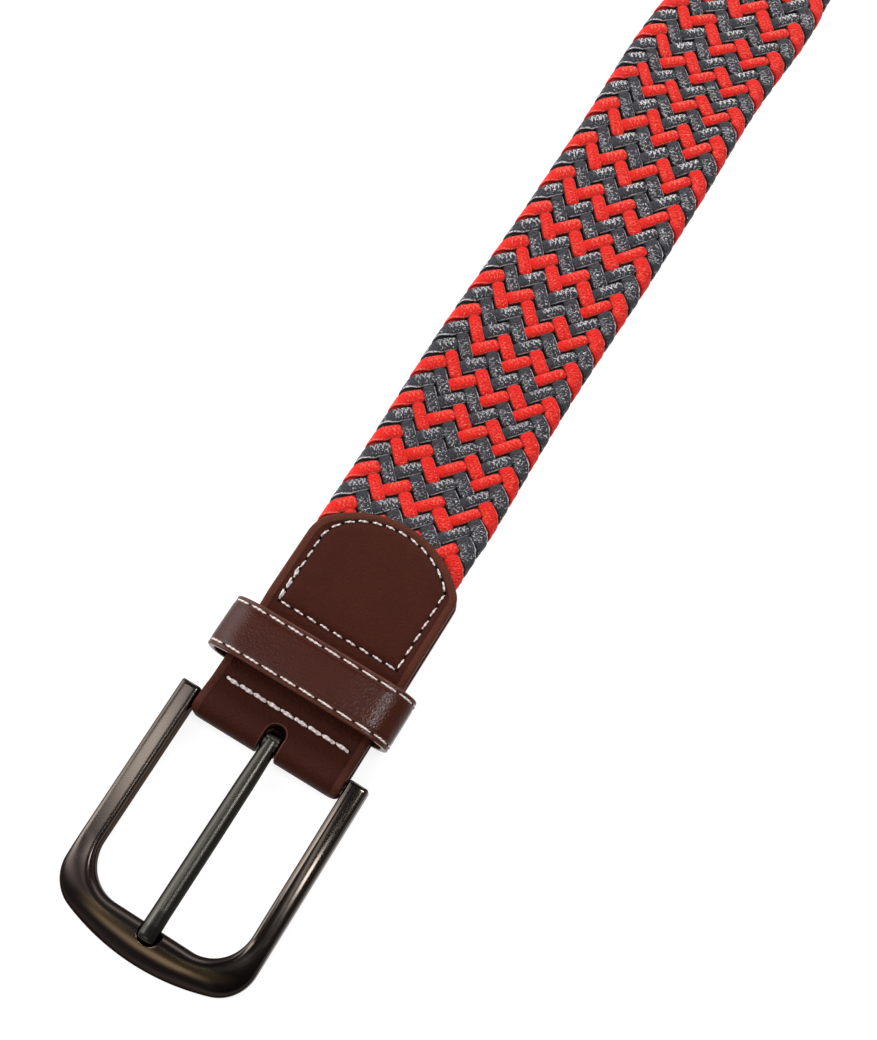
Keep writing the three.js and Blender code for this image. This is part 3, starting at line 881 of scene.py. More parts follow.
def tabSurface(x, y):
    # top of the upper layer: its level, less the stitch grooves, plus a slight padding inside
    # the flap's stitch line
    seam = seamDistance(x, y)
    s = flapSeam
    inside = np.minimum(np.minimum(x - s["start"], s["apex"] - x), s["half"] - np.abs(y))
    puff, reach = tab["puff"]
    deep, wide = tab["groove"]
    return tabTop(x) + puff * ease(0, reach, inside) - deep * np.exp(-(seam / wide) ** 2)


def slotDistance(x, y):
    # from the slot's edge, outwards
    centre = tab["slotEnd"] - tab["slotHalf"]
    return np.maximum(np.hypot(np.maximum(x - centre, 0), y - tab["slotAside"]) - tab["slotHalf"], 0)


def tabColumns():
    # shares of a panel's width from its outer edge to the slot, close together at both
    rounding = np.array([0, 0.1, 0.25, 0.45, 0.7, 0.95, 1.25])
    width = leather["half"]
    middle = spacing(rounding[-1], width - rounding[-2], tab["step"])
    return np.concatenate([rounding[:-1], middle, width - rounding[-3::-1]]) / width


def tabStations(step, slotEnd):
    # x from the fold to the apex, closer together round the slot's end and the strip's
    slotCentre = slotEnd - tab["slotHalf"]
    back, _, _ = roundEnd(leather["endRadius"], leather["leftCorner"])
    onSlot = slotCentre + tab["slotHalf"] * np.sin(np.linspace(0, np.pi / 2, tab["slotRows"]))
    ends = [tab["apex"] - endStations(leather["endRadius"], corner, int(tab["endRows"] / step))
            for corner in (leather["leftCorner"], leather["cornerRadius"])]
    return merged(spacing(0, slotCentre, step), onSlot,
                  spacing(slotEnd, tab["apex"] - back, step), *ends)


def makeTab():
    # Rows run along the strip: under layer from its free end to the fold, round the bar, and
    # back along the upper layer. Columns run from the +Y edge to the slot, and from the slot
    # to the -Y edge. Each row has an outer and an inner point.
    upperX = tabStations(tab["step"], tab["slotEnd"])
    lowerX = tabStations(tab["underStep"], tab["underSlotEnd"])[::-1]
    turn = np.linspace(-np.pi / 2, -3 * np.pi / 2, tab["foldRows"] + 2)[1:-1]
    level = tab["foldRadius"]
    wall = leather["wall"]
    # outer point, inner point and outward direction of each row, in the x-z plane
    rowX = np.concatenate([lowerX, tab["foldRadius"] * np.cos(turn), upperX])
    outZ = np.concatenate([0 * lowerX, level + tab["foldRadius"] * np.sin(turn), tabTop(upperX)])
    inX = np.concatenate([lowerX, tab["eyeRadius"] * np.cos(turn), upperX])
    inZ = np.concatenate([0 * lowerX + wall, level + tab["eyeRadius"] * np.sin(turn),
                          tabTop(upperX) - wall])
    outward = np.stack([np.concatenate([0 * lowerX, np.cos(turn), 0 * upperX]),
                        np.concatenate([0 * lowerX - 1, np.sin(turn), 0 * upperX + 1])], axis=-1)
    isTop = np.concatenate([0 * lowerX, 0 * turn, 0 * upperX + 1])
    halves = [endHalf(tab["apex"] - rowX, leather["endRadius"], corner)
              for corner in (leather["leftCorner"], leather["cornerRadius"])]
    nearFold = np.clip(rowX + tab["foldRadius"], 0, tab["foldCorner"])
    rounded = np.sqrt(np.maximum(tab["foldCorner"] ** 2 - (tab["foldCorner"] - nearFold) ** 2, 0))
    leftHalf, rightHalf = [half - (tab["foldCorner"] - rounded) * (rowX < 0) for half in halves]
    isLower = np.arange(len(rowX)) < len(lowerX)
    centre = np.where(isLower, tab["underSlotEnd"], tab["slotEnd"]) - tab["slotHalf"]
    slotHalf = np.sqrt(np.maximum(tab["slotHalf"] ** 2 - np.maximum(rowX - centre, 0) ** 2, 0))
    aside = tab["slotAside"] * (1 - ease(tab["slotEnd"], tab["slotBlend"], rowX))
    share = tabColumns()
    left = leftHalf[:, None] + (aside + slotHalf - leftHalf)[:, None] * share
    right = -rightHalf[:, None] + (aside - slotHalf + rightHalf)[:, None] * share
    y = np.concatenate([left, right[:, ::-1]], axis=1)
    x = np.broadcast_to(rowX[:, None], y.shape)
    before = tab["apex"] - x
    rim = np.where(y > 0, endDistance(before, y, leather["endRadius"], leather["leftCorner"]),
                   endDistance(before, y, leather["endRadius"], leather["cornerRadius"]))
    rim = np.minimum(rim, np.minimum(np.abs(leftHalf[:, None] - y), np.abs(rightHalf[:, None] + y)))
    lip = slotDistance(x, y)
    top = isTop[:, None]
    seam = np.where(top > 0, seamDistance(x, y), leather["far"])
    raised, lipAt, lipWide = tab["lip"]
    line = raised * np.exp(-((lip - lipAt) / lipWide) ** 2) * np.where(top > 0, 1, tab["underLip"])
    fall = edgeFall(rim) * np.where(top > 0, 1, tab["underFall"])
    # stitches and padding, the line round the slot, the slot's rounding and the edges' rounding
    relief = (tabSurface(x, y) - tabTop(x)) * top + line
    relief = relief - tab["slotEdgeDrop"] * np.exp(-(lip / lipWide) ** 2) - fall
    outer = np.stack([x + outward[:, None, 0] * relief, y,
                      outZ[:, None] + outward[:, None, 1] * relief], axis=-1)
    inner = np.stack([np.broadcast_to(inX[:, None], y.shape), y,
                      np.broadcast_to(inZ[:, None], y.shape)], axis=-1)
    rows, columns = y.shape
    skin = gridQuads(rows, columns)
    gapColumn = columns // 2 - 1
    skin = skin[(skin[:, 0] % columns) != gapColumn]
    offset = rows * columns
    # rims join the two sheets along both outer edges, the slot's walls and the free ends
    inSlot = np.flatnonzero(slotHalf[1:] + slotHalf[:-1] > 1e-6)
    rims = []
    for column, span in ((0, np.arange(rows - 1)), (columns - 1, np.arange(rows - 1)),
                         (gapColumn, inSlot), (gapColumn + 1, inSlot)):
        here = span * columns + column
        rims.append(np.stack([here, here + columns, here + columns + offset, here + offset], axis=-1))
    quads = np.concatenate([skin, skin[:, ::-1] + offset, *rims])
    points = np.concatenate([outer.reshape(-1, 3), inner.reshape(-1, 3)])
    seam = np.concatenate([seam.ravel(), np.full(seam.size, leather["far"])])
    values = {"rim": np.tile(rim.ravel(), 2), "seam": seam, "lip": np.tile(lip.ravel(), 2)}
    piece = meshFrom("tab_leather", points, quads, values=values, weld=leather["weld"],
                     sharp=leather["sharp"])
    dress(piece, "belt", "leather", materials["leather"], "leather_tab")


makeTab()


# Keeper: a flat leather loop with rounded edges

keeper = {
    "start": 10.2,
    "length": 11.7,
    "half": 21.5,
    "low": 1.7,
    "top": 11.7,
    "wall": 1.6,
    "bend": 4.4,
    "shoulder": 7.5,                # over how much of the width the top bends down
    "crown": 0.35,
    "edge": 0.4,                    # rounding of the cut edges
    "face": 0.1,                    # insets up to which the section counts as outer face,
    "cut": 0.35,                    # and from which it counts as cut edge
    "seamInset": 1.05,
    "groove": (0.16, 0.6),          # depth and width
    "step": 0.4,
    "turns": 14,
    "across": 60,
    "sharp": 60,
}


def keeperLoop(inset, turns, across):
    # y and z round the loop, from the lower run's +Y end: two runs, two quarter circles below
    # and two quarter ellipses above, all drawn in by the inset
    k = keeper
    half, bend, wide = k["half"] - inset, k["bend"] - inset, k["shoulder"] - inset
    low, high = k["low"] + inset, k["top"] - inset
    flat, top = half - bend, half - wide
    quarter = np.linspace(0, np.pi / 2, turns)
    under = np.linspace(-flat, flat, across)[1:-1]
    run = np.linspace(top, -top, across)[1:-1]
    crown = k["crown"] * (1 - (run / top) ** 2)
    y = np.concatenate([flat + bend * np.sin(quarter), top + wide * np.cos(quarter), run,
                        -top - wide * np.sin(quarter), -flat - bend * np.cos(quarter), under])
    z = np.concatenate([low + bend - bend * np.cos(quarter), high - bend + bend * np.sin(quarter),
                        high + crown, high - bend + bend * np.cos(quarter),
                        low + bend - bend * np.sin(quarter), low + 0 * under])
    return y, z


def keeperSection():
    # a rounded rectangle: x from the edge that faces the buckle, and the inset from outside
    k = keeper
    edge = k["edge"]
    quarter = np.linspace(0, np.pi / 2, 5)
    faceX = spacing(edge, k["length"] - edge, k["step"])[1:-1]
    corners = [(edge - edge * np.cos(quarter), edge - edge * np.sin(quarter)),
               (k["length"] - edge + edge * np.sin(quarter), edge - edge * np.cos(quarter)),
               (k["length"] - edge + edge * np.cos(quarter), k["wall"] - edge + edge * np.sin(quarter)),
               (edge - edge * np.sin(quarter), k["wall"] - edge + edge * np.cos(quarter))]
    x = np.concatenate([corners[0][0], faceX, corners[1][0], corners[2][0],
                        faceX[::-1][::4], corners[3][0]])
    inset = np.concatenate([corners[0][1], 0 * faceX, corners[1][1], corners[2][1],
                            0 * faceX[::4] + k["wall"], corners[3][1]])
    return x, inset


def keeperSink(x):
    # the stitch lines pull the face in near both edges
    k = keeper
    deep, wide = k["groove"]
    return sum(deep * np.exp(-((x - at) / wide) ** 2)
               for at in (k["seamInset"], k["length"] - k["seamInset"]))


def makeKeeper():
    # the section carried round the loop
    k = keeper
    x, inset = keeperSection()
    inset = inset + keeperSink(x) * (inset < k["face"])
    loops = [keeperLoop(depth, k["turns"], k["across"]) for depth in inset]
    y = np.stack([loop[0] for loop in loops])
    z = np.stack([loop[1] for loop in loops])
    points = np.stack([np.broadcast_to(k["start"] + x[:, None], y.shape), y, z], axis=-1)
    rim = np.minimum(x, k["length"] - x)
    rim = np.where(inset > k["cut"], 0, rim)
    seam = np.minimum(np.abs(x - k["seamInset"]), np.abs(k["length"] - x - k["seamInset"]))
    rows, columns = y.shape
    values = {"rim": np.repeat(rim, columns), "seam": np.repeat(seam, columns),
              "lip": np.full(rows * columns, leather["far"])}
    piece = meshFrom("keeper_loop", points.reshape(-1, 3),
                     gridQuads(rows, columns, loopRows=True, loopColumns=True),
                     values=values, weld=leather["weld"], sharp=k["sharp"])
    dress(piece, "belt", "leather", materials["keeper"], "keeper")


makeKeeper()


# Tip: two leather layers closed round the braid's end, with a line pressed along their edge

tip = {
    "start": 222.5,
    "end": 272.2,
    "wall": 1.2,
    "pocket": 2.4,
    "pocketEnd": 262.0,
    "closing": (1.7, 0.8, 0.8),     # it closes between these two insets from the side, and over
                                    # this much before the pocket's end
    "noseRadius": 20.0,
    "noseCorner": 9.0,
    "parting": 0.06,                # half the line between the layers at the edge
    "step": 0.7,
    "columns": 60,
    "mouthRows": 26,
    "noseRows": 30,
    "lineInset": 2.4,
    "lineGroove": (0.12, 0.6),      # depth and width
}


def tipHalf(x):
    # half width, between the rounded end over the braid and the nose
    return np.minimum(endHalf(x - tip["start"], leather["endRadius"], leather["cornerRadius"]),
                      endHalf(tip["end"] - x, tip["noseRadius"], tip["noseCorner"]))


def tipDistance(x, y):
    # from the nearest outer edge
    return np.minimum(endDistance(x - tip["start"], y, leather["endRadius"], leather["cornerRadius"]),
                      endDistance(tip["end"] - x, y, tip["noseRadius"], tip["noseCorner"]))


def makeTip():
    # Two plates, one above the other. Each has an outer face with rounded edges, and an inner
    # face that follows the braid and meets the other layer along the sides and the nose.
    t = tip
    mouth = endStations(leather["endRadius"], leather["cornerRadius"], t["mouthRows"])
    mouth = t["start"] + mouth[::-1]
    nose = t["end"] - endStations(t["noseRadius"], t["noseCorner"], t["noseRows"])
    rowX = np.concatenate([mouth, spacing(mouth[-1], nose[0], t["step"])[1:-1], nose])
    edge = np.array([0, 0.006, 0.015, 0.03, 0.045])
    share = np.concatenate([edge, np.linspace(0.06, 0.94, t["columns"]), 1 - edge[::-1]])
    half = tipHalf(rowX)
    y = half[:, None] * (1 - 2 * share)
    x = np.broadcast_to(rowX[:, None], y.shape)
    rim = tipDistance(x, y)
    middle = t["wall"] + t["pocket"] / 2
    begins, closes, atEnd = t["closing"]
    atSide = ease(leather["half"] - begins, leather["half"] - closes, np.abs(y))
    closed = np.maximum(atSide, ease(t["pocketEnd"] - atEnd, t["pocketEnd"], x))
    gap = t["pocket"] / 2 * (1 - closed) + t["parting"]
    seam = np.abs(rim - t["lineInset"])
    deep, wide = t["lineGroove"]
    thick = middle - edgeFall(rim) - deep * np.exp(-(seam / wide) ** 2)
    rows, columns = y.shape
    points, quads, values = [], [], {"rim": [], "seam": [], "lip": []}
    for facing in (1, -1):
        first = sum(len(p) for p in points)
        outer = np.stack([x, y, middle + facing * thick], axis=-1).reshape(-1, 3)
        inner = np.stack([x, y, middle + facing * gap], axis=-1).reshape(-1, 3)
        skin = gridQuads(rows, columns)
        offset = rows * columns
        span = np.arange(rows - 1) * columns
        rims = [np.stack([here, here + columns, here + columns + offset, here + offset], axis=-1)
                for here in (span, span + columns - 1)]
        quads.append(first + np.concatenate([skin, skin[:, ::-1] + offset, *rims]))
        points += [outer, inner]
        for key, value in (("rim", rim), ("seam", seam), ("lip", np.full(rim.shape, leather["far"]))):
            values[key].append(np.tile(value.ravel(), 2))
    values = {key: np.concatenate(value) for key, value in values.items()}
    piece = meshFrom("tip_leather", np.concatenate(points), np.concatenate(quads), values=values,
                     weld=leather["weld"], sharp=leather["sharp"])
    dress(piece, "belt", "leather", materials["leather"], "leather_tip")


makeTip()


# Stitches and needle holes

stitchShape = {
    "rings": 13,
    "sides": 6,
    "plies": 2,
    "plyOff": 0.34,                 # a ply's middle lies this far off the stitch's, and the ply
    "plyWide": 0.7,                 # has this radius, both as shares of the stitch's radius
    "thin": 0.35,                   # powers of the sine by which a stitch thins to its ends
    "stand": 0.5,                   # and stands up in its middle
    "lumpWave": (5.3, 2.1),         # radians in a millimetre, and from one ply to the next
}


def alongPath(path, faces, at):
    # places, upward, forward and sideways directions at distances along a line
    gone = np.concatenate([[0], np.cumsum(np.linalg.norm(np.diff(path, axis=0), axis=1))])
    centre = np.stack([np.interp(at, gone, path[:, k]) for k in range(3)], axis=-1)
    up = unit(np.stack([np.interp(at, gone, faces[:, k]) for k in range(3)], axis=-1))
    ahead = unit(np.gradient(centre, axis=1))
    return centre, up, unit(np.cross(up, ahead))


def stitchBodies(path, faces, starts, ends, size):
    # Each stitch follows the line between two places on it, measured along it. It is two plies
    # twisted round each other, thins towards both ends, stands up by "arch" in the middle,
    # starts "sink" below the leather and lies "slant" degrees off the line.
    s = stitchShape
    share = np.linspace(0, 1, s["rings"])
    length = (ends - starts)[:, None]
    at = starts[:, None] + length * share
    centre, up, across = alongPath(path, faces, at)
    bulge = np.sin(np.pi * share)
    wide = size["radius"] * (size["blunt"] + (1 - size["blunt"]) * bulge ** s["thin"])
    lift = (size["arch"] + size["sink"]) * bulge ** s["stand"] - size["sink"]
    aside = -np.tan(np.radians(size["slant"])) * (share - 0.5) * length + size["aside"]
    centre = centre + up * lift[:, None] + across * aside[..., None]
    angle = 2 * np.pi * np.arange(s["sides"]) / s["sides"]
    perLength, perPly = s["lumpWave"]
    bodies = []
    for ply in range(s["plies"]):
        turn = (at * size["twist"] + 2 * np.pi * ply / s["plies"])[..., None]
        middle = centre + (across * np.cos(turn) + up * np.sin(turn)) * (wide * s["plyOff"])[:, None]
        lump = 1 + size["lumps"] * np.sin(at * perLength + ply * perPly)
        thick = (wide * s["plyWide"] * lump)[..., None]
        bodies.append(middle[:, :, None] + across[:, :, None] * (thick * np.cos(angle))[..., None]
                      + up[:, :, None] * (thick * np.sin(angle))[..., None])
    return np.concatenate(bodies), np.concatenate([at] * s["plies"])


def spans(length, count, share, first=0.0):
    # places of count stitches on a line, each over a share of its pitch
    pitch = length / count
    start = first + pitch * (np.arange(count) + (1 - share) / 2)
    return start, start + pitch * share


def onTab(line, step=0.5):
    # a line on the flap, lifted to the leather, and its upward directions
    fine = []
    for start, end in zip(line[:-1], line[1:]):
        length = np.linalg.norm(end - start)
        share = spacing(0, length, step)[:, None] / length
        fine.append(start + (end - start) * share[:-1])
    flat = np.concatenate([*fine, line[-1:]])
    path = np.column_stack([flat, tabSurface(flat[:, 0], flat[:, 1])])
    return path, np.tile([0.0, 0, 1], (len(path), 1))


def onKeeper(at, turns=24, across=80, left=16):
    # over the keeper's top, from low on the +Y side to low on the other: the loop without its
    # lower run and without the points left out at both lower corners
    y, z = keeperLoop(keeperSink(at), turns, across)
    path = np.stack([np.full_like(y, keeper["start"] + at), y, z], axis=-1)
    path = path[left:-(across - 2) - left]
    flow = np.gradient(path, axis=0)
    return path, unit(np.stack([0 * flow[:, 0], flow[:, 2], -flow[:, 1]], axis=-1))


holeShape = {
    "sides": 10,
    "long": 1.35,                   # how much longer than wide
    "lift": 0.04,
    "ahead": 0.05,                  # the second place, which gives the line's direction
    "short": 0.06,                  # how far before the line's end the last one lies
}


def holeDiscs(path, faces, at, radius):
    # small dark ovals on the leather, between stitches: painted shade of the needle holes
    h = holeShape
    at = np.minimum(at, at[-1] - h["short"])
    centre, up, across = alongPath(path, faces, np.stack([at, at + h["ahead"]], axis=-1))
    centre, up, across = centre[:, :1], up[:, :1], across[:, :1]
    ahead = np.cross(across, up)
    angle = (2 * np.pi * np.arange(h["sides"]) / h["sides"])[None, :, None]
    oval = ahead * h["long"] * np.cos(angle) + across * np.sin(angle)
    return centre + up * h["lift"] + radius * oval


stitchSizes = {
    # millimetres; share is of the pitch
    "flap": {"radius": 0.24, "arch": 0.08, "sink": 0.2, "share": 0.80, "blunt": 0.3, "slant": 5,
             "aside": 0, "twist": 2.8, "lumps": 0.05, "hole": 0.24},
    "bar": {"radius": 0.45, "arch": 0.12, "sink": 0.16, "share": 0.98, "blunt": 0.55, "slant": 4,
            "aside": 0, "twist": 1.7, "lumps": 0.1, "hole": 0.36},
    "keeper": {"radius": 0.24, "arch": 0.05, "sink": 0.15, "share": 0.91, "blunt": 0.4, "slant": 2,
               "aside": 0, "twist": 2.8, "lumps": 0.05, "hole": 0.2},
    # the seam's end, sewn twice over a reach along it
    "twice": {"radius": 0.28, "arch": 0.2, "sink": 0.0, "share": 0.8, "blunt": 0.5, "slant": -5,
              "aside": -0.28, "twist": 1.9, "lumps": 0.2, "hole": 0.2, "reach": 8.6},
}
stitchRows = (
    # line, size and number of stitches; the keeper's lines by their distance from its edge
    ("bottom", "flap", 9), ("right", "flap", 6), ("arc", "flap", 12), ("left", "flap", 6),
    ("leftEnd", "twice", 3), ("bar", "bar", 9),
    (keeper["seamInset"], "keeper", 12), (keeper["length"] - keeper["seamInset"], "keeper", 12),
)


def makeStitches():
    # every row's stitches as one mesh of twisted plies, and every needle hole as another
    seamEnd = seamLines["left"][1]
    twice = np.array([seamEnd + [stitchSizes["twice"]["reach"], 0], seamEnd])
    lines = {**seamLines, "bar": barLine, "leftEnd": twice}
    bodies, runs, holes = [], [], []
    for key, kind, count in stitchRows:
        size = stitchSizes[kind]
        path, faces = onTab(lines[key]) if key in lines else onKeeper(key)
        length = np.sum(np.linalg.norm(np.diff(path, axis=0), axis=1))
        starts, ends = spans(length, count, size["share"])
        points, at = stitchBodies(path, faces, starts, ends, size)
        bodies.append(points)
        runs.append(at)
        holes.append(holeDiscs(path, faces, length / count * np.arange(count + 1), size["hole"]))
    points, at = np.concatenate(bodies), np.concatenate(runs)
    quads, caps = sweptFaces(len(points), stitchShape["rings"], stitchShape["sides"], flip=True)
    piece = meshFrom("stitches", points.reshape(-1, 3), quads, caps,
                     corners=sweptCorners(at, stitchShape["sides"]))
    dress(piece, "belt", "thread", materials["thread"])
    holes = np.concatenate(holes)
    rings = np.arange(holes.shape[0] * holes.shape[1]).reshape(holes.shape[:2])
    piece = meshFrom("needle_holes", holes.reshape(-1, 3), np.zeros((0, 4), int), list(rings))
    dress(piece, "belt", "leather", materials["hole"])


makeStitches()


# Buckle frame: one section carried round the loop, growing from the arms to the end bar

buckle = {
    "innerHalf": 17.8,
    "outerHalf": 22.3,
    "armEnd": 2.1,
    "armChamfer": 0.25,
    "armShrink": 0.9,               # size of an arm's end face, as a share of its section
    "innerEnd": -41.85,
    "outerEnd": -49.8,
    "innerCorner": 8.7,
    "outerCorner": 8.3,
    "bowRadius": 52.5,
    "armLift": 0.7,
    "armRise": 0.15,
    "liftLength": 42.0,
    "liftSoft": 3.0,
    "barRadius": 1.3,
    "barHeight": 3.0,
    "barInArm": 0.6,                # how far the pivot bar goes into each arm
    "barSides": 24,
    "armStep": 0.7,
    "endStep": 0.22,
    "cornerRows": 40,
    "smooth": 7,                    # points drawn between two rows of the section
    "groove": {"radius": 2.45, "height": 4.95, "end": -43.3, "aside": -0.72, "soft": 0.5,
               "steep": 3},
    "section": {
        "armAcross": (0.07, 0.93, 1.0, 1.0, 0.965, 0.90, 0.70, 0.45, 0.22, 0.09, 0.03, 0.0, 0.0),
        "armUp": (0.0, 0.0, 0.5, 3.0, 3.5, 3.78, 3.94, 4.04, 4.05, 3.93, 3.6, 3.0, 0.5),
        "barAcross": (0.05, 0.95, 1.0, 0.98, 0.90, 0.78, 0.64, 0.50, 0.36, 0.22, 0.09, 0.01, 0.0),
        "barUp": (0.0, 0.0, 0.5, 1.3, 2.2, 3.1, 3.9, 4.45, 4.7, 4.6, 4.15, 3.2, 0.5),
    },
}


def softRamp(values, soft):
    # 0 below 0 and the value above it, joined by a parabola
    return np.where(values > soft, values, np.maximum(values + soft, 0) ** 2 / (4 * soft))


def roundedLoop(values, steps, evened=10):
    # a cubic curve through the values of a closed loop, with the same slope on both sides of
    # each: half the difference of its neighbours
    values = np.asarray(values, float)
    before, here, after, beyond = [np.roll(values, -k) for k in (-1, 0, 1, 2)]
    t = np.arange(steps) / steps
    curve = (here[:, None] + 0.5 * t * (after - before)[:, None]
             + t ** 2 * (before - 2.5 * here + 2 * after - 0.5 * beyond)[:, None]
             + t ** 3 * (-0.5 * before + 1.5 * here - 1.5 * after + 0.5 * beyond)[:, None]).ravel()
    # averaged with its neighbours, so that reflections run smoothly over it
    for _ in range(evened):
        curve = (np.roll(curve, 1) + 2 * curve + np.roll(curve, -1)) / 4
    return curve


def circleReach(start, ray, centre, radius):
    # distance along a ray from inside a circle to the circle
    offset = start - centre
    along = ray @ offset
    return -along + np.sqrt(along ** 2 - offset @ offset + radius ** 2)


def buckleStations():
    # inner and outer edge points from the +Y arm's end to the middle of the end bar, and the
    # end bar's share of each: 0 on the arm and 1 on the end bar. Round the corner they lie on
    # rays from the inner corner's centre, which meet the side, the outer corner or the bow.
    b = buckle
    corner = np.array([b["innerEnd"] + b["innerCorner"], b["innerHalf"] - b["innerCorner"]])
    bow = np.array([b["outerEnd"] + b["bowRadius"], 0.0])
    cornerY = b["outerHalf"] - b["outerCorner"]
    between = b["bowRadius"] - b["outerCorner"]
    outer = np.array([bow[0] - np.sqrt(between ** 2 - cornerY ** 2), cornerY])
    armX = spacing(b["armEnd"] - b["armChamfer"], corner[0], b["armStep"])
    arm = np.stack([armX, 0 * armX + b["innerHalf"]], axis=-1)
    armOuter = np.stack([armX, 0 * armX + b["outerHalf"]], axis=-1)
    angle = np.linspace(np.pi / 2, np.pi, b["cornerRows"])[1:]
    ray = np.stack([np.cos(angle), np.sin(angle)], axis=-1)
    toSide = (b["outerHalf"] - corner[1]) / np.maximum(ray[:, 1], 1e-6)
    toBow = circleReach(corner, ray, bow, b["bowRadius"])
    toOuter = circleReach(corner, ray, outer, b["outerCorner"])
    onSide = corner[0] + toSide * ray[:, 0] >= outer[0]
    onBow = corner[1] + toBow * ray[:, 1] <= cornerY * b["bowRadius"] / between
    reach = np.where(onSide, toSide, np.where(onBow, toBow, toOuter))
    barY = spacing(corner[1], 0, b["endStep"])[1:]
    bar = np.stack([0 * barY + b["innerEnd"], barY], axis=-1)
    barOuter = np.stack([bow[0] - np.sqrt(b["bowRadius"] ** 2 - barY ** 2), barY], axis=-1)
    inner = np.concatenate([arm, corner + b["innerCorner"] * ray, bar])
    outerEdge = np.concatenate([armOuter, corner + reach[:, None] * ray, barOuter])
    share = np.concatenate([0 * armX, ease(np.pi / 2, np.pi, angle), 0 * barY + 1])
    return inner, outerEdge, share


def makeBuckle():
    # rings of the section from one arm's end round to the other's, the prong's groove pressed
    # into the end bar, and the pivot bar between the arms
    b, s = buckle, buckle["section"]
    inner, outer, bar = buckleStations()
    mirror = np.array([1, -1])
    inner = np.concatenate([inner, inner[-2::-1] * mirror])
    outer = np.concatenate([outer, outer[-2::-1] * mirror])
    bar = np.concatenate([bar, bar[-2::-1]])
    armAcross, armUp, barAcross, barUp = [roundedLoop(s[key], b["smooth"])
                                          for key in ("armAcross", "armUp", "barAcross", "barUp")]
    armUp, barUp = np.maximum(armUp, 0), np.maximum(barUp, 0)
    near = softRamp(inner[:, 0] + b["liftLength"], b["liftSoft"])[:, None] / b["liftLength"]
    across = armAcross + (barAcross - armAcross) * bar[:, None]
    up = armUp * (1 + b["armRise"] * near) * (1 - bar[:, None]) + barUp * bar[:, None]
    plan = inner[:, None] + (outer - inner)[:, None] * np.clip(across, 0, 1)[..., None]
    rings = np.concatenate([plan, (b["armLift"] * near + up)[..., None]], axis=-1)
    # chamfered arm ends: the first and last ring again, drawn in and moved out
    ends = rings[[0, -1]]
    middle = ends.mean(axis=1, keepdims=True)
    ends = middle + (ends - middle) * b["armShrink"]
    ends[..., 0] = b["armEnd"]
    rings = np.concatenate([ends[:1], rings, ends[1:]])
    g = b["groove"]
    dx = np.minimum(rings[..., 0] - g["end"], 0)
    dy = rings[..., 1] - g["aside"]
    off = np.hypot(dx, dy)
    bed = g["height"] - np.sqrt(np.maximum(g["radius"] ** 2 - off ** 2, 0))
    bed = bed + g["steep"] * np.maximum(off - g["radius"], 0)
    # the lower of the two heights, blended where they nearly meet
    meet = np.maximum(g["soft"] - np.abs(rings[..., 2] - bed), 0) / g["soft"]
    rings[..., 2] = np.minimum(rings[..., 2], bed) - meet ** 2 * g["soft"] / 4
    quads, caps = sweptFaces(1, *rings.shape[:2])
    # pivot bar: a circle at each end
    turn = 2 * np.pi * np.arange(b["barSides"]) / b["barSides"]
    reach = b["innerHalf"] + b["barInArm"]
    rod = np.stack([[b["barRadius"] * np.cos(turn), 0 * turn + end,
                     b["barHeight"] + b["barRadius"] * np.sin(turn)] for end in (reach, -reach)])
    rod = np.swapaxes(rod, 1, 2).reshape(-1, 3)
    first = rings.shape[0] * rings.shape[1]
    rodQuads, rodCaps = sweptFaces(1, 2, b["barSides"], flip=True)
    quads = np.concatenate([quads, first + rodQuads])
    caps += [first + cap for cap in rodCaps]
    points = np.concatenate([rings.reshape(-1, 3), rod])
    piece = meshFrom("buckle_loop", points, quads, caps, weld=0.0005, sharp=55)
    dress(piece, "frame", "gunmetal", materials["metal"], "buckle_frame")


makeBuckle()


# Prong: a round rod with a blunt bent tip, on an eye round the pivot bar

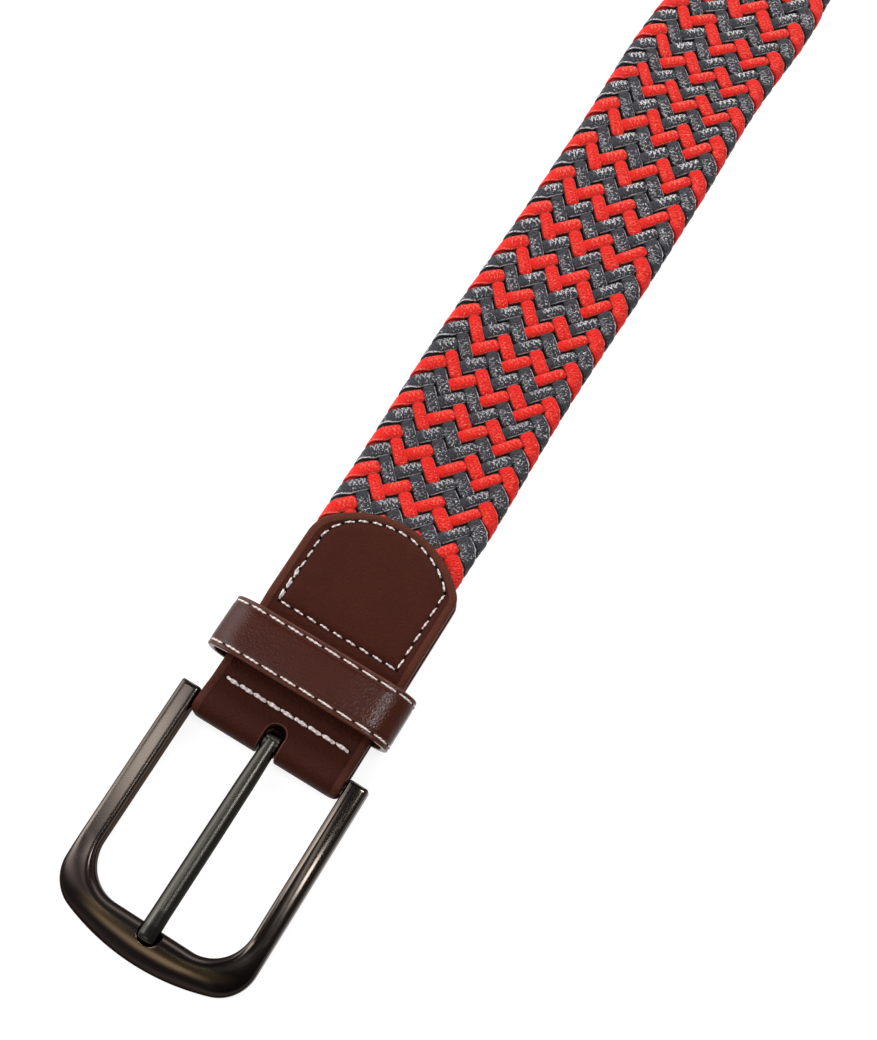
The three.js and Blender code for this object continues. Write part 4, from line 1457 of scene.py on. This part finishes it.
prong = {
    "aside": -0.4,
    "rod": {
        "x": (0.9, 0.75, -3.6, -9.0, -22.0, -38.6, -41.6, -44.1, -44.7, -45.0),
        "z": (4.05, 4.05, 4.1, 4.15, 4.3, 4.5, 4.4, 4.15, 4.05, 3.95),
        "halfWidth": (1.65, 1.75, 1.78, 1.92, 2.0, 2.0, 2.05, 2.05, 1.95, 1.65),
        "halfHeight": (1.4, 1.5, 1.53, 1.55, 1.55, 1.5, 1.4, 1.2, 1.0, 0.65),
    },
    "eye": {"outer": 2.4, "inner": 1.5, "half": 1.7, "corner": 0.3, "turns": 40},
    "step": 0.7,
    "sides": 28,
}


def makeProng():
    # an ellipse carried along the rod's rows, and a ring with rounded edges for the eye
    p, rows, eye = prong, prong["rod"], prong["eye"]
    knots = np.concatenate([[0], np.cumsum(np.hypot(np.diff(rows["x"]), np.diff(rows["z"])))])
    at = np.unique(np.concatenate([spacing(knots[0], knots[-1], p["step"]), knots]))
    x, z, wide, tall = [np.interp(at, knots, rows[key])[:, None]
                        for key in ("x", "z", "halfWidth", "halfHeight")]
    turn = 2 * np.pi * np.arange(p["sides"]) / p["sides"]
    rod = np.stack([x + 0 * turn, p["aside"] - wide * np.cos(turn), z + tall * np.sin(turn)], axis=-1)
    quads, caps = sweptFaces(1, len(x), p["sides"])
    # the eye: a rounded rectangle carried round the bar
    quarter = np.linspace(0, np.pi / 2, 5)
    corner, thick = eye["corner"], eye["outer"] - eye["inner"]
    sideY, depth = [], []
    for sideWay, depthWay in ((1, 1), (-1, 1), (-1, -1), (1, -1)):
        angle = quarter[::sideWay * depthWay]
        sideY.append(sideWay * (eye["half"] - corner + corner * np.cos(angle)))
        depth.append(depthWay * (thick / 2 - corner + corner * np.sin(angle)))
    sideY, depth = np.concatenate(sideY), np.concatenate(depth)
    around = (2 * np.pi * np.arange(eye["turns"]) / eye["turns"])[:, None]
    radius = (eye["outer"] + eye["inner"]) / 2 + depth
    ring = np.stack([radius * np.cos(around), p["aside"] + sideY + 0 * around,
                     buckle["barHeight"] + radius * np.sin(around)], axis=-1)
    ringQuads = gridQuads(eye["turns"], len(sideY), loopRows=True, loopColumns=True,
                          first=len(x) * p["sides"])
    quads = np.concatenate([quads, ringQuads])
    points = np.concatenate([rod.reshape(-1, 3), ring.reshape(-1, 3)])
    piece = meshFrom("prong_pin", points, quads, caps, weld=0.0005, sharp=50)
    dress(piece, "prong", "gunmetal", materials["prong"], "prong")


makeProng()
